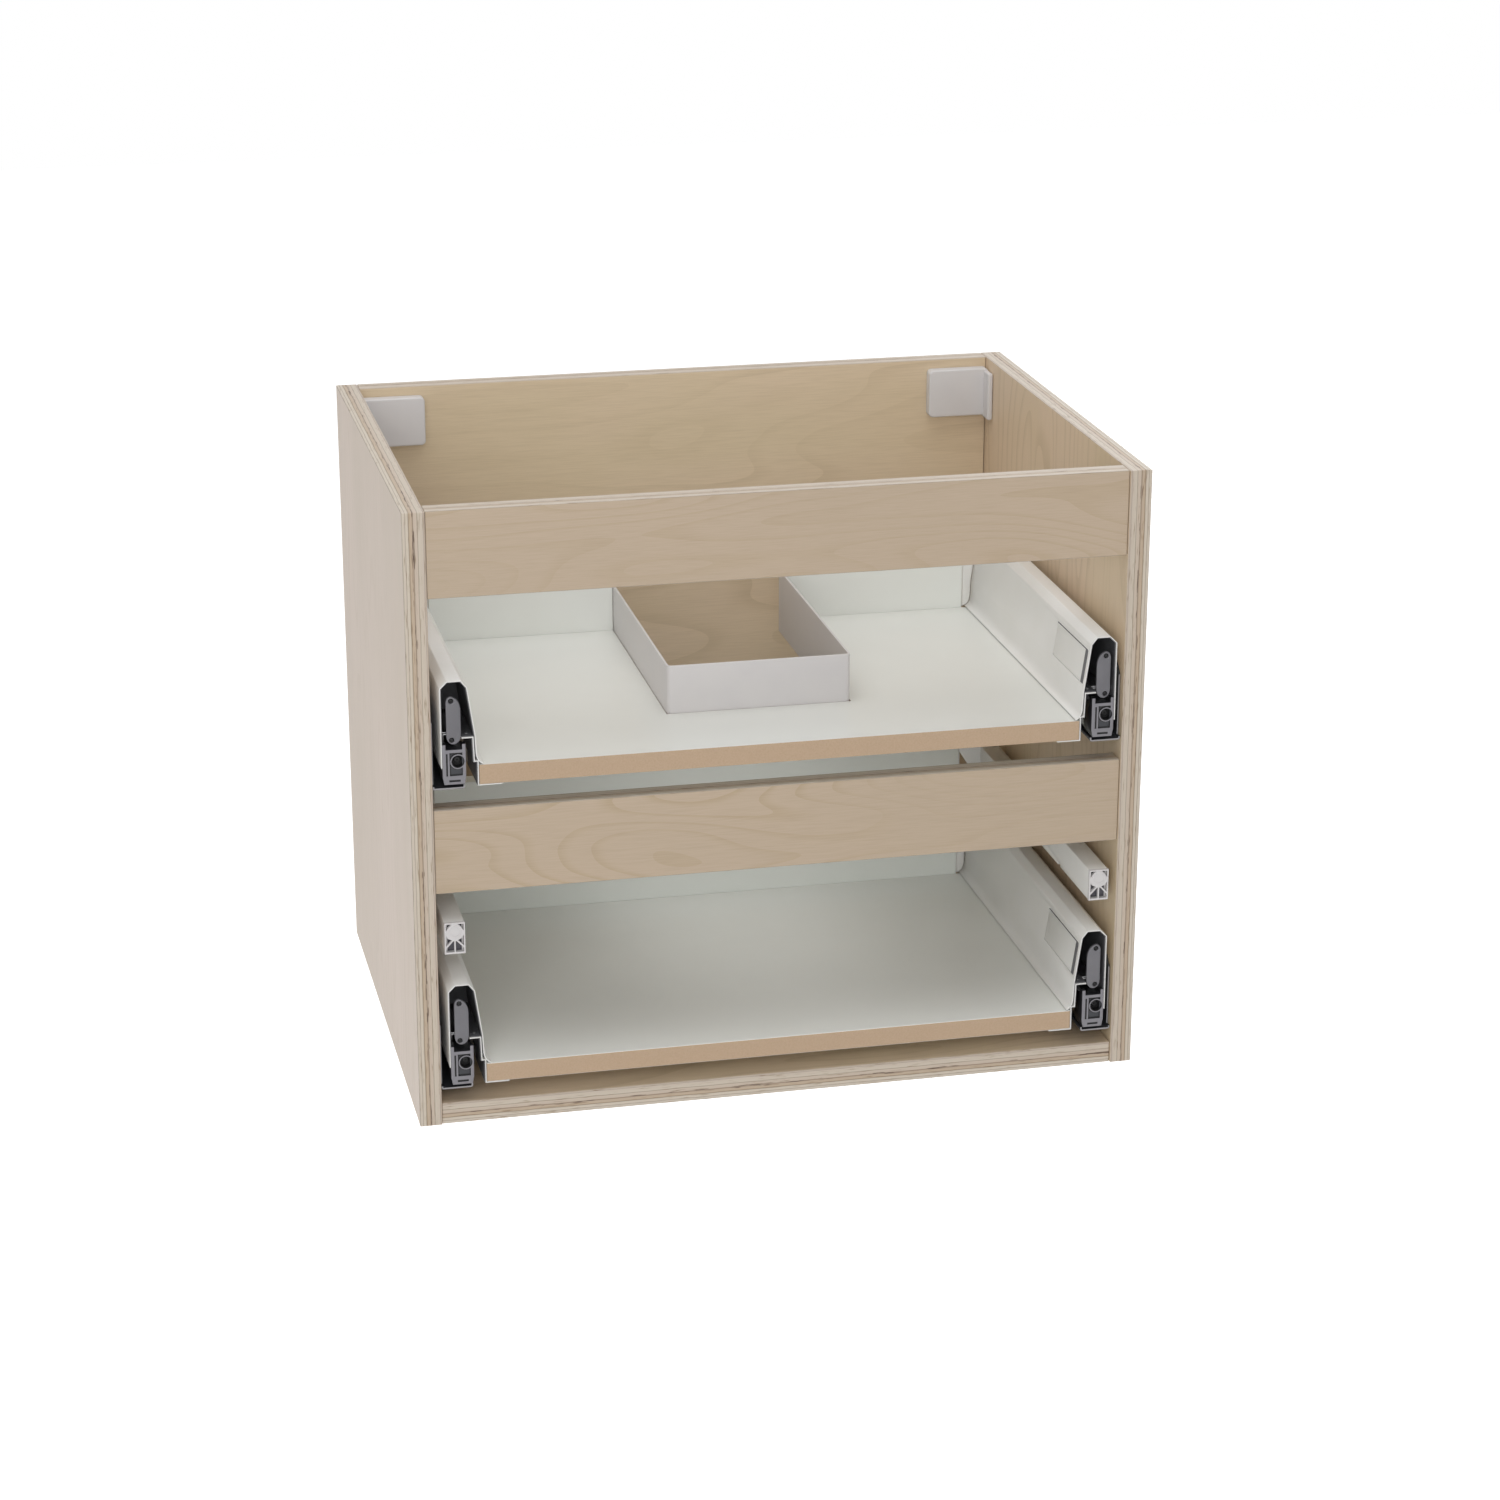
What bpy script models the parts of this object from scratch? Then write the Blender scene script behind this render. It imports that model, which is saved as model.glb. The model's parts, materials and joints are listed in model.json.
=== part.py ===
"""Wall-hung vanity cabinet of birch plywood with two full-extension drawers.

The upper drawer is cut out for a basin trap, the lower one has a tall back and
gallery rails, and no drawer fronts are fitted. Lengths are in metres, +Z is up,
the cabinet faces -Y, and the origin is the middle of its wall face.
"""

import math

import bmesh
import bpy
from mathutils import Matrix, Vector

# Carcass: four boards and two front rails of one plywood
cabinet_width = 0.600
cabinet_depth = 0.428
cabinet_height = 0.512
panel = 0.018
edge_break = 0.0005
seat_gap = 0.0003
front_set_back = 0.0018
rail_height = 0.070
middle_rail_gap = 0.0209
pipe_space = 0.060

# Dowels, glued into the ends of the rails, bottom and back, that enter bores in the side panels
dowel_radius = 0.0040
dowel_length = 0.0300
dowel_in_side = 0.0120
dowel_pitch = 0.0320
dowel_end_gap = 0.0010

# Drawer boards: the drawers' fronts would share the height equally, so half of it lies between the
# runners, and the height adjuster of the upper drawer sets it this much lower on its runners
lower_drawer_level = 0.0354
upper_drawer_lowering = 0.0015
drawer_board = 0.016
drawer_overhang = 0.002
board_edge_break = 0.0003
board_shortening = 0.024

# Steel skin of a drawer side: a rise is measured from the underside of the drawer board
side_skin = 0.0008
side_standoff = 0.0070
skirt_rise = 0.0150
side_rise = 0.0861
outer_chamfer = 0.0055
side_top_width = 0.0110
inner_chamfer_width = 0.0046
inner_chamfer_height = 0.0057
inner_lean = 0.0057
foot_rise = 0.0406
curl_lean = 0.0007
curl_drop = 0.0150
lip_bend_reach = 0.0005
lip_bend_drop = 0.0066
lip_reach = 0.0052
lip_clearance = 0.00095
side_rear_trim = 0.0035

# Steel chassis inside a drawer side
chassis_sheet = 0.0012
shelf_rise = 0.0390
shelf_inset = 0.0282
shelf_width = 0.0218
web_lean = 0.0023
step_rise = 0.0183
step_width = 0.0017
under_flange = 0.0190

# Three-member runner: its heights are measured from the underside of its tray
lower_runner_level = 0.0298
cabinet_sheet = 0.0015
cabinet_member_start = 0.0025
wing_set_back = 0.0050
wing_height = 0.0620
wing_corner = 0.0080
tray_reach = 0.0262
tray_lip = 0.0030
drawer_member_sheet = 0.0012
drawer_member_inset = 0.0276
drawer_member_width = 0.0158
drawer_member_foot = 0.0090
drawer_member_top = 0.0418
middle_sheet = 0.0014
middle_start = 0.0215
middle_shortening = 0.0300
running_gap = 0.0007
bend_radius = 0.0012

# Front fixing block, the same casting on both sides: its own sizes run from its lower left corner
block_width = 0.0184
block_height = 0.0285
block_depth = 0.0209
block_front = 0.0005
block_lift = 0.0053
block_corner_width = 0.0012
block_corner_height = 0.0060
prong_width = 0.0026
prong_height = 0.0044
prong_depth = 0.0060
boss_offset = 0.0122
boss_rise = 0.0186
boss_radius = 0.0061
boss_hole_radius = 0.0052
boss_hole_depth = 0.0120
field_offset = 0.0056
field_rise = 0.0070
field_height = 0.0190
field_depth = 0.0015
slot_offset = 0.0028
slot_width = 0.0014
slot_height = 0.0185
slot_depth = 0.0080
foot_slot_offset = 0.0050
foot_slot_rise = 0.0020
foot_slot_width = 0.0090
foot_slot_height = 0.0017

# Link plate above the block, which takes a drawer front
plate_width = 0.0115
plate_height = 0.0391
plate_thickness = 0.0030
plate_inset = 0.0298
plate_rise = 0.0341
plate_hole_radius = 0.0020
plate_hole_offset = 0.0041
plate_hole_pitch = 0.0320

# Cover cap let into a window in the inner wall of a drawer side
cap_start = 0.0060
cap_length = 0.0780
cap_height = 0.0280
cap_rise = 0.0459
cap_thickness = 0.0010
cap_front_gap = 0.0012
cap_corner = 0.0030

# Rear brackets and backs
back_inset = 0.0614
bracket_sheet = 0.0012
bracket_shift = 0.0010
bracket_lift = 0.0005
bracket_flange = 0.0310
bracket_top = 0.0823
low_back_height = 0.0840
tall_back_margin = 0.0014

# Gallery rails of the lower drawer, midway between its steel sides and the middle rail
rail_tube_width = 0.0166
rail_tube_height = 0.0265
rail_tube_wall = 0.0012
rail_tube_inset = 0.0242
rail_tube_start = 0.0050
holder_plate = 0.0020
holder_plug = 0.0120
holder_slope_run = 0.0145
holder_neck = 0.0040
notch_start = 0.0800
notch_length = 0.0080
notch_height = 0.0030
end_cap_plate = 0.0030
end_cap_plug = 0.0100
end_cap_pocket = 0.0035
end_cap_corner = 0.0010

# Basin trap cutout of the upper drawer
cutout_width = 0.154
cutout_start = 0.0885
trim_wall = 0.0020
trim_rise = 0.0565
trim_corner = 0.0035

# Concealed cabinet hangers in the two rear top corners
hanger_inset = 0.0455
hanger_body_width = 0.0400
hanger_body_height = 0.0360
hanger_body_depth = 0.0082
hanger_sheet = 0.0016
hook_width = 0.0200
hook_plate_height = 0.0200
hook_plate_thickness = 0.0045
hook_bar_height = 0.0060
hook_wall_gap = 0.0025
hook_nose = 0.0080
hook_nose_thickness = 0.0050
hook_slot_width = 0.0260
hook_slot_height = 0.0380
cover_width = 0.0550
cover_height = 0.0425
cover_depth = 0.0102
cover_wall = 0.0015
cover_top_drop = 0.0080
cover_rib_width = 0.0047
cover_rib_depth = 0.0135
cover_rib_drop = 0.0020
cover_corner = 0.0030
cover_rib_corner = 0.0015

# Shares and counts of the small outlines
corner_steps = 3
lip_steps = 5
round_steps = 20
dowel_steps = 12
dowel_row_shares = (0.15, 0.50, 0.85)
cutter_overrun = 0.0020
weld_distance = 0.00001
plate_outline_shares = (
    (0.0, 0.17), (0.0, 0.91), (0.12, 0.975), (0.33, 1.0), (0.56, 0.975), (0.79, 0.915), (0.94, 0.825),
    (1.0, 0.72), (1.0, 0.19), (0.92, 0.10), (0.75, 0.035), (0.50, 0.0), (0.25, 0.02), (0.08, 0.08),
)
end_cap_pocket_shares = (
    ((0.07, 0.94), (0.26, 0.94), (0.14, 0.89), (0.07, 0.81)),
    ((0.93, 0.94), (0.74, 0.94), (0.86, 0.89), (0.93, 0.81)),
    ((0.07, 0.53), (0.16, 0.46), (0.33, 0.41), (0.07, 0.27)),
    ((0.93, 0.53), (0.84, 0.46), (0.67, 0.41), (0.93, 0.27)),
    ((0.07, 0.07), (0.46, 0.07), (0.46, 0.37), (0.38, 0.35), (0.07, 0.19)),
    ((0.54, 0.07), (0.93, 0.07), (0.93, 0.19), (0.62, 0.35), (0.54, 0.37)),
)

runner_pitch = cabinet_height / 2
drawer_length = cabinet_depth - panel - pipe_space
upper_drawer_level = lower_drawer_level + runner_pitch - upper_drawer_lowering
middle_rail_level = upper_drawer_level - middle_rail_gap - rail_height
gallery_space = middle_rail_level - lower_drawer_level - side_rise
rail_tube_rise = side_rise + (gallery_space - rail_tube_height) / 2
tall_back_height = rail_tube_rise + rail_tube_height + tall_back_margin
half_width = cabinet_width / 2
inner_face = panel
side_face = panel + side_standoff
drawer_front = -drawer_overhang
board_end = drawer_front + drawer_length - board_shortening
back_front = board_end + seat_gap
side_end = drawer_front + drawer_length - side_rear_trim
back_panel_front = cabinet_depth - panel
chassis_start = drawer_front + seat_gap
chassis_end = side_end - seat_gap
plate_front = drawer_front + block_front
block_end = drawer_front + block_front + block_depth
hanger_centre = cabinet_height - cover_top_drop - cover_height / 2

SIDES = (("left", -1), ("right", 1))
DRAWERS = (
    ("upper", upper_drawer_level, lower_runner_level + runner_pitch),
    ("lower", lower_drawer_level, lower_runner_level),
)


def clear_scene():
    for old in list(bpy.data.objects):
        bpy.data.objects.remove(old)


def across(side, inset):
    """World X of a distance in from the outer face of the left (-1) or right (1) side panel."""
    return side * (half_width - inset)


def depth(distance):
    """World Y of a distance behind the front edges of the side panels."""
    return distance - cabinet_depth


def level(height):
    """World Z of a height above the underside of the side panels."""
    return height - cabinet_height / 2


def new_collection(name):
    collection = bpy.data.collections.new(name)
    bpy.context.scene.collection.children.link(collection)
    return collection


def new_material(name, colour, roughness, metallic=0.0):
    material = bpy.data.materials.new(name)
    material.use_nodes = True
    shader = material.node_tree.nodes["Principled BSDF"]
    shader.inputs["Base Color"].default_value = (*colour, 1.0)
    shader.inputs["Roughness"].default_value = roughness
    shader.inputs["Metallic"].default_value = metallic
    return material


def new_body(name, place):
    """An empty that carries the pieces of one rigid body."""
    empty = bpy.data.objects.new(name, None)
    empty.location = place
    part_collection.objects.link(empty)
    return empty


def add_object(name, mesh, place, body, material):
    """Links a mesh as a named piece whose own origin is at a world place."""
    piece = bpy.data.objects.new(name, mesh)
    piece.parent = body
    piece.location = Vector(place) - body.location
    mesh.materials.append(material)
    part_collection.objects.link(piece)
    return piece


def mesh_from(bm, name):
    mesh = bpy.data.meshes.new(name)
    bm.to_mesh(mesh)
    bm.free()
    return mesh


def box_mesh(name, size):
    bm = bmesh.new()
    bmesh.ops.create_cube(bm, size=1.0)
    bmesh.ops.scale(bm, vec=size, verts=bm.verts)
    return mesh_from(bm, name)


def add_bevel(piece, width, segments=1):
    bevel = piece.modifiers.new("broken_edges", "BEVEL")
    bevel.width = width
    bevel.segments = segments
    bevel.limit_method = "ANGLE"
    return bevel


def add_box(name, low, high, body, material, edge=0.0):
    """A board or block between two world corners, with its edges broken."""
    low, high = Vector(map(min, low, high)), Vector(map(max, low, high))
    piece = add_object(name, box_mesh(name, high - low), (low + high) / 2, body, material)
    if edge:
        add_bevel(piece, edge)
    return piece


def add_cutter(cutter):
    """Moves a helper shape out of the model and hides it."""
    for holder in list(cutter.users_collection):
        holder.objects.unlink(cutter)
    cutter_collection.objects.link(cutter)
    cutter.hide_render = True
    cutter.display_type = "WIRE"
    return cutter


def combine(piece, other, operation):
    """Cuts another shape from a piece, or joins it on, and keeps it as a hidden helper."""
    add_cutter(other)
    boolean = piece.modifiers.new(operation.lower(), "BOOLEAN")
    boolean.operation = operation
    boolean.solver = "EXACT"
    boolean.object = other
    return piece


def box_cut(piece, low, high, body, material):
    return combine(piece, add_box("cutter", low, high, body, material), "DIFFERENCE")


def box_join(piece, low, high, body, material):
    return combine(piece, add_box("joined", low, high, body, material), "UNION")


def prism_mesh(name, outlines, thickness):
    """A flat outline, with any holes, as a closed mesh: drawn in X and Y, thick along Z."""
    curve = bpy.data.curves.new(name, "CURVE")
    curve.dimensions = "2D"
    curve.fill_mode = "BOTH"
    curve.extrude = thickness / 2
    for outline in outlines:
        spline = curve.splines.new("POLY")
        spline.points.add(len(outline) - 1)
        for point, (x, y) in zip(spline.points, outline):
            point.co = (x, y, 0.0, 1.0)
        spline.use_cyclic_u = True
    drawn = bpy.data.objects.new(name, curve)
    cutter_collection.objects.link(drawn)
    evaluated = drawn.evaluated_get(bpy.context.evaluated_depsgraph_get())
    mesh = bpy.data.meshes.new_from_object(evaluated)
    bpy.data.objects.remove(drawn)
    bpy.data.curves.remove(curve)
    bm = bmesh.new()
    bm.from_mesh(mesh)
    bmesh.ops.remove_doubles(bm, verts=bm.verts, dist=weld_distance)
    bmesh.ops.recalc_face_normals(bm, faces=bm.faces)
    bm.to_mesh(mesh)
    bm.free()
    return mesh


def add_upright_prism(name, outlines, front, thickness, body, material):
    """A prism whose outlines are world (X, Z) points, from a world Y at its front, backwards."""
    mesh = prism_mesh(name, outlines, thickness)
    piece = add_object(name, mesh, (0.0, front + thickness / 2, 0.0), body, material)
    piece.rotation_euler = (math.pi / 2, 0.0, 0.0)
    return piece


def add_side_prism(name, outline, left, thickness, body, material):
    """A prism whose outline is of world (Y, Z) points, from a world X to the right."""
    mesh = prism_mesh(name, [outline], thickness)
    piece = add_object(name, mesh, (left + thickness / 2, 0.0, 0.0), body, material)
    piece.rotation_euler = (math.pi / 2, 0.0, math.pi / 2)
    return piece


def circle(centre, radius, steps=round_steps):
    """Points round a circle in a plane."""
    turn = 2 * math.pi / steps
    return [
        (centre[0] + radius * math.cos(k * turn), centre[1] + radius * math.sin(k * turn))
        for k in range(steps)
    ]


def rounded_path(points, radius, closed=False, steps=corner_steps):
    """The same path with each corner turned into an arc, no larger than its legs allow."""
    count = len(points)
    corners = range(count) if closed else range(1, count - 1)
    result = [] if closed else [points[0]]
    for k in corners:
        corner = Vector(points[k])
        before = Vector(points[k - 1]) - corner
        after = Vector(points[(k + 1) % count]) - corner
        half_angle = before.angle(after) / 2
        reach = radius / math.tan(half_angle)
        limit = min(before.length, after.length) / 2
        reach = min(reach, limit)
        arc_radius = reach * math.tan(half_angle)
        before.normalize()
        after.normalize()
        middle = (before + after).normalized()
        centre = corner + middle * (arc_radius / math.sin(half_angle))
        first = corner + before * reach - centre
        sweep = math.pi - 2 * half_angle
        turn = before.x * after.y - before.y * after.x
        sign = -1.0 if turn > 0 else 1.0
        for step in range(steps + 1):
            angle = sign * sweep * step / steps
            cosine, sine = math.cos(angle), math.sin(angle)
            spoke = Vector((first.x * cosine - first.y * sine, first.x * sine + first.y * cosine))
            result.append(tuple(centre + spoke))
    if not closed:
        result.append(points[-1])
    return result


def add_sheet(name, path, travel, thickness, body, material):
    """Bent sheet: a path of world points is drawn out along a vector and given a thickness."""
    bm = bmesh.new()
    line = [bm.verts.new(point) for point in path]
    edges = [bm.edges.new(pair) for pair in zip(line, line[1:])]
    drawn = bmesh.ops.extrude_edge_only(bm, edges=edges)["geom"]
    moved = [item for item in drawn if isinstance(item, bmesh.types.BMVert)]
    bmesh.ops.translate(bm, vec=travel, verts=moved)
    piece = add_object(name, mesh_from(bm, name), (0.0, 0.0, 0.0), body, material)
    wall = piece.modifiers.new("sheet", "SOLIDIFY")
    wall.thickness = thickness
    wall.offset = 0.0
    wall.use_even_offset = True
    return piece


def add_profile_sheet(name, path, front, back, thickness, body, material):
    """Sheet metal whose section is a path of world (X, Z) points, run between two world Y."""
    section = [(x, front, z) for x, z in path]
    return add_sheet(name, section, (0.0, back - front, 0.0), thickness, body, material)


def add_plan_sheet(name, path, bottom, top, thickness, body, material):
    """Sheet whose plan is a path of world (X, Y) points, run up between two world Z."""
    plan = [(x, y, bottom) for x, y in path]
    return add_sheet(name, plan, (0.0, 0.0, top - bottom), thickness, body, material)


def at_drawer(side, base, points):
    """World (X, Z) of (inset, rise) points of a drawer whose board underside is at a height."""
    return [(across(side, inset), level(base + rise)) for inset, rise in points]


def dowel_rows():
    """World (Y, Z) of the dowels of each board, the same at both of its ends."""
    rail_middle = depth(front_set_back + panel / 2)
    back_middle = depth(back_panel_front + panel / 2)
    rails = {
        "top_front_rail": cabinet_height - rail_height / 2,
        "middle_front_rail": middle_rail_level + rail_height / 2,
    }
    rows = {
        name: [(rail_middle, level(middle + step)) for step in (-dowel_pitch / 2, dowel_pitch / 2)]
        for name, middle in rails.items()
    }
    rows["bottom_panel"] = [
        (depth(share * back_panel_front), level(panel / 2)) for share in dowel_row_shares
    ]
    rows["back_panel"] = [
        (back_middle, level(share * cabinet_height)) for share in dowel_row_shares
    ]
    return rows


def add_pins(rows, side, radius, end_gap):
    """Round pins along X, one at each place of the rows, half way into the face of a side panel."""
    bm = bmesh.new()
    length = dowel_length + end_gap
    middle = across(side, panel - dowel_in_side - end_gap + length / 2)
    for y, z in rows:
        place = Matrix.Translation((middle, y, z)) @ Matrix.Rotation(math.pi / 2, 4, "Y")
        bmesh.ops.create_cone(
            bm, cap_ends=True, segments=dowel_steps, radius1=radius, radius2=radius, depth=length,
            matrix=place,
        )
    return add_object("pins", mesh_from(bm, "pins"), (0.0, 0.0, 0.0), cabinet, birch_plywood)


def add_carcass():
    front, back = depth(0.0), depth(cabinet_depth)
    bottom, top = level(0.0), level(cabinet_height)
    rows = dowel_rows()
    every_place = [place for row in rows.values() for place in row]
    for word, side in SIDES:
        low = (across(side, 0.0), front, bottom)
        high = (across(side, panel), back, top)
        board = add_box(f"side_panel_{word}", low, high, cabinet, birch_plywood, edge_break)
        bores = add_pins(every_place, side, dowel_radius + seat_gap, dowel_end_gap)
        combine(board, bores, "DIFFERENCE")
    left, right = across(-1, panel + seat_gap), across(1, panel + seat_gap)
    set_back = depth(front_set_back)
    panel_front = depth(back_panel_front)
    boards = {}
    boards["bottom_panel"] = add_box(
        "bottom_panel",
        (left, set_back, bottom),
        (right, panel_front - seat_gap, level(panel)),
        cabinet, birch_plywood, edge_break,
    )
    boards["top_front_rail"] = add_box(
        "top_front_rail",
        (left, set_back, level(cabinet_height - rail_height)),
        (right, set_back + panel, top),
        cabinet, birch_plywood, edge_break,
    )
    boards["middle_front_rail"] = add_box(
        "middle_front_rail",
        (left, set_back, level(middle_rail_level)),
        (right, set_back + panel, level(middle_rail_level + rail_height)),
        cabinet, birch_plywood, edge_break,
    )
    boards["back_panel"] = add_box(
        "back_panel",
        (left, panel_front, bottom),
        (right, back, top),
        cabinet, birch_plywood, edge_break,
    )
    for name, board in boards.items():
        for word, side in SIDES:
            combine(board, add_pins(rows[name], side, dowel_radius, 0.0), "UNION")
    centre = level(hanger_centre)
    for word, side in SIDES:
        middle = across(side, hanger_inset)
        box_cut(
            boards["back_panel"],
            (middle - hook_slot_width / 2, panel_front - cutter_overrun, centre - hook_slot_height / 2),
            (middle + hook_slot_width / 2, back + cutter_overrun, centre + hook_slot_height / 2),
            cabinet, birch_plywood,
        )


def add_hanger(word, side, hook_body):
    """A steel bracket behind the back panel's slot, the hook in it, and a plastic cover."""
    middle = across(side, hanger_inset)
    centre = level(hanger_centre)
    rear = depth(back_panel_front - seat_gap)
    front = rear - hanger_body_depth
    half = hanger_body_width / 2 - hanger_sheet / 2
    plan = [
        (middle - half, rear),
        (middle - half, front + hanger_sheet / 2),
        (middle + half, front + hanger_sheet / 2),
        (middle + half, rear),
    ]
    add_plan_sheet(
        f"hanger_body_{word}", plan, centre - hanger_body_height / 2,
        centre + hanger_body_height / 2, hanger_sheet, cabinet, bright_steel,
    )

    near = front + hanger_sheet + seat_gap
    far = near + hook_plate_thickness
    tip = depth(cabinet_depth - hook_wall_gap)
    nose_front = tip - hook_nose_thickness
    half_plate, half_bar = hook_plate_height / 2, hook_bar_height / 2
    outline = [
        (near, centre + half_plate),
        (near, centre - half_plate),
        (far, centre - half_plate),
        (far, centre - half_bar),
        (nose_front, centre - half_bar),
        (nose_front, centre - half_bar - hook_nose),
        (tip, centre - half_bar - hook_nose),
        (tip, centre + half_bar),
        (far, centre + half_bar),
        (far, centre + half_plate),
    ]
    add_side_prism(
        f"hanger_hook_{word}", outline, middle - hook_width / 2, hook_width, hook_body, bright_steel
    )
    add_hanger_cover(word, side, rear)


def add_hanger_cover(word, side, rear):
    """An open-backed rounded box over the hanger, with a raised rib beside the side panel."""
    outer = across(side, inner_face + seat_gap)
    inner = across(side, inner_face + seat_gap + cover_width)
    front = rear - cover_depth
    top = level(cabinet_height - cover_top_drop)
    bottom = top - cover_height
    behind = rear + cover_corner + cutter_overrun
    cover = add_box(
        f"hanger_cover_{word}", (outer, front, bottom), (inner, behind, top), cabinet, white_plastic
    )
    add_bevel(cover, cover_corner, 2)
    rib = add_box(
        "joined",
        (outer, front - cover_rib_depth, bottom - cover_rib_drop),
        (outer - side * cover_rib_width, behind, top - cover_rib_drop),
        cabinet, white_plastic,
    )
    add_bevel(rib, cover_rib_corner, 2)
    combine(cover, rib, "UNION")
    inside = -side * cover_wall
    box_cut(
        cover,
        (outer + inside, front + cover_wall, bottom + cover_wall),
        (inner - inside, behind + cutter_overrun, top - cover_wall),
        cabinet, white_plastic,
    )
    reach = cover_rib_drop + cutter_overrun
    box_cut(
        cover,
        (outer + side * cutter_overrun, rear, bottom - reach),
        (inner - side * cutter_overrun, behind + cutter_overrun, top + reach),
        cabinet, white_plastic,
    )


def side_wall_points():
    """(inset, rise) of the middle of the skin, from the skirt over the top to its lip."""
    outer = side_face + side_skin / 2
    top = side_rise - side_skin / 2
    top_inner = outer + outer_chamfer + side_top_width
    wall_top = top_inner + inner_chamfer_width
    foot = wall_top + inner_lean
    curl = foot + curl_lean
    return [
        (outer, skirt_rise),
        (outer, top - outer_chamfer),
        (outer + outer_chamfer, top),
        (top_inner, top),
        (wall_top, top - inner_chamfer_height),
        (foot, foot_rise),
        (curl, foot_rise - curl_drop),
    ]


def lip_points():
    """(inset, rise) of the rolled lip under the inner wall, a curve that ends over the board."""
    start = Vector(side_wall_points()[-1])
    bend = start + Vector((lip_bend_reach, -lip_bend_drop))
    end = Vector((start.x + lip_reach, drawer_board + lip_clearance))
    shares = [step / lip_steps for step in range(1, lip_steps + 1)]
    return [tuple(start.lerp(bend, t).lerp(bend.lerp(end, t), t)) for t in shares]


def inner_wall_angle():
    """Lean of the inner wall from upright, in radians."""
    points = side_wall_points()
    return math.atan2(points[5][0] - points[4][0], points[4][1] - points[5][1])


def inner_wall_inset(rise):
    """Inset of the middle of the inner wall at a height above the board's underside."""
    points = side_wall_points()
    share = (points[4][1] - rise) / (points[4][1] - points[5][1])
    return points[4][0] + share * (points[5][0] - points[4][0])


def wall_slab(name, side, base, start, length, height, thickness, corner, body, material):
    """A plate that lies in the inner wall of a drawer side, leaning as the wall does."""
    rise = cap_rise + cap_height / 2
    half_length, half_height = length / 2, height / 2
    outline = [
        (-half_length, -half_height),
        (half_length, -half_height),
        (half_length, half_height),
        (-half_length, half_height),
    ]
    if corner:
        outline = rounded_path(outline, corner, closed=True)
    place = (across(side, inner_wall_inset(rise)), depth(start) + half_length, level(base + rise))
    piece = add_object(name, prism_mesh(name, [outline], thickness), place, body, material)
    piece.rotation_mode = "XZY"
    piece.rotation_euler = (math.pi / 2, side * inner_wall_angle(), math.pi / 2)
    return piece


def add_drawer_side(word, drawer, side, base, body):
    front, back = depth(drawer_front), depth(side_end)
    path = rounded_path(at_drawer(side, base, side_wall_points()), bend_radius)
    path += at_drawer(side, base, lip_points())
    skin = add_profile_sheet(
        f"{drawer}_drawer_side_{word}", path, front, back, side_skin, body, white_steel
    )
    window = wall_slab(
        "window", side, base, cap_start - cap_front_gap, cap_length + cap_front_gap + seat_gap,
        cap_height + seat_gap + seat_gap, side_skin + cutter_overrun, 0.0, body, white_steel,
    )
    combine(skin, window, "DIFFERENCE")
    wall_slab(
        f"{drawer}_cover_cap_{word}", side, base, cap_start, cap_length, cap_height,
        cap_thickness, cap_corner, body, white_plastic,
    )


def chassis_points():
    """(inset, rise) of the middle of the chassis sheet, from its shelf down under the board."""
    web_top = shelf_inset + shelf_width
    web_foot = web_top + web_lean
    flange = web_foot + step_width
    under = -seat_gap - chassis_sheet / 2
    return [
        (shelf_inset, shelf_rise),
        (web_top, shelf_rise),
        (web_foot, step_rise),
        (flange, step_rise),
        (flange, under),
        (flange + under_flange, under),
    ]


def board_inset():
    """Inset of the ends of a drawer board, clear of the chassis flange."""
    return chassis_points()[4][0] + chassis_sheet / 2 + seat_gap


def add_chassis(word, drawer, side, base, body):
    path = rounded_path(at_drawer(side, base, chassis_points()), bend_radius)
    chassis = add_profile_sheet(
        f"{drawer}_side_chassis_{word}", path, depth(chassis_start), depth(chassis_end),
        chassis_sheet, body, white_steel,
    )
    shelf = level(base + shelf_rise)
    box_cut(
        chassis,
        (across(side, shelf_inset - cutter_overrun), depth(chassis_start) - cutter_overrun,
         shelf - chassis_sheet),
        (across(side, plate_inset + plate_width + seat_gap),
         depth(plate_front + plate_thickness + seat_gap), shelf + chassis_sheet),
        body, white_steel,
    )


def drawer_member_points():
    """(inset, rise) of the drawer member, an inverted channel under the chassis shelf."""
    outer = drawer_member_inset + drawer_member_sheet / 2
    inner = drawer_member_inset + drawer_member_width - drawer_member_sheet / 2
    top = drawer_member_top - drawer_member_sheet / 2
    return [(outer, drawer_member_foot), (outer, top), (inner, top), (inner, drawer_member_foot)]


def middle_member_points():
    """(inset, rise) of the middle member, a channel inside the drawer member."""
    outline = drawer_member_points()
    clear = drawer_member_sheet / 2 + running_gap + middle_sheet / 2
    foot = cabinet_sheet + running_gap
    outer, inner = outline[0][0] + clear, outline[2][0] - clear
    top = outline[1][1] - clear
    return [(outer, foot), (outer, top), (inner, top), (inner, foot)]


def cabinet_member_points():
    """(inset, rise) of the cabinet member: a wing on the side panel and a tray below."""
    wing = inner_face + seat_gap + cabinet_sheet / 2
    tray = cabinet_sheet / 2
    lip = inner_face + tray_reach - cabinet_sheet / 2
    return [(wing, wing_height), (wing, tray), (lip, tray), (lip, tray + tray_lip)]


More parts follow.
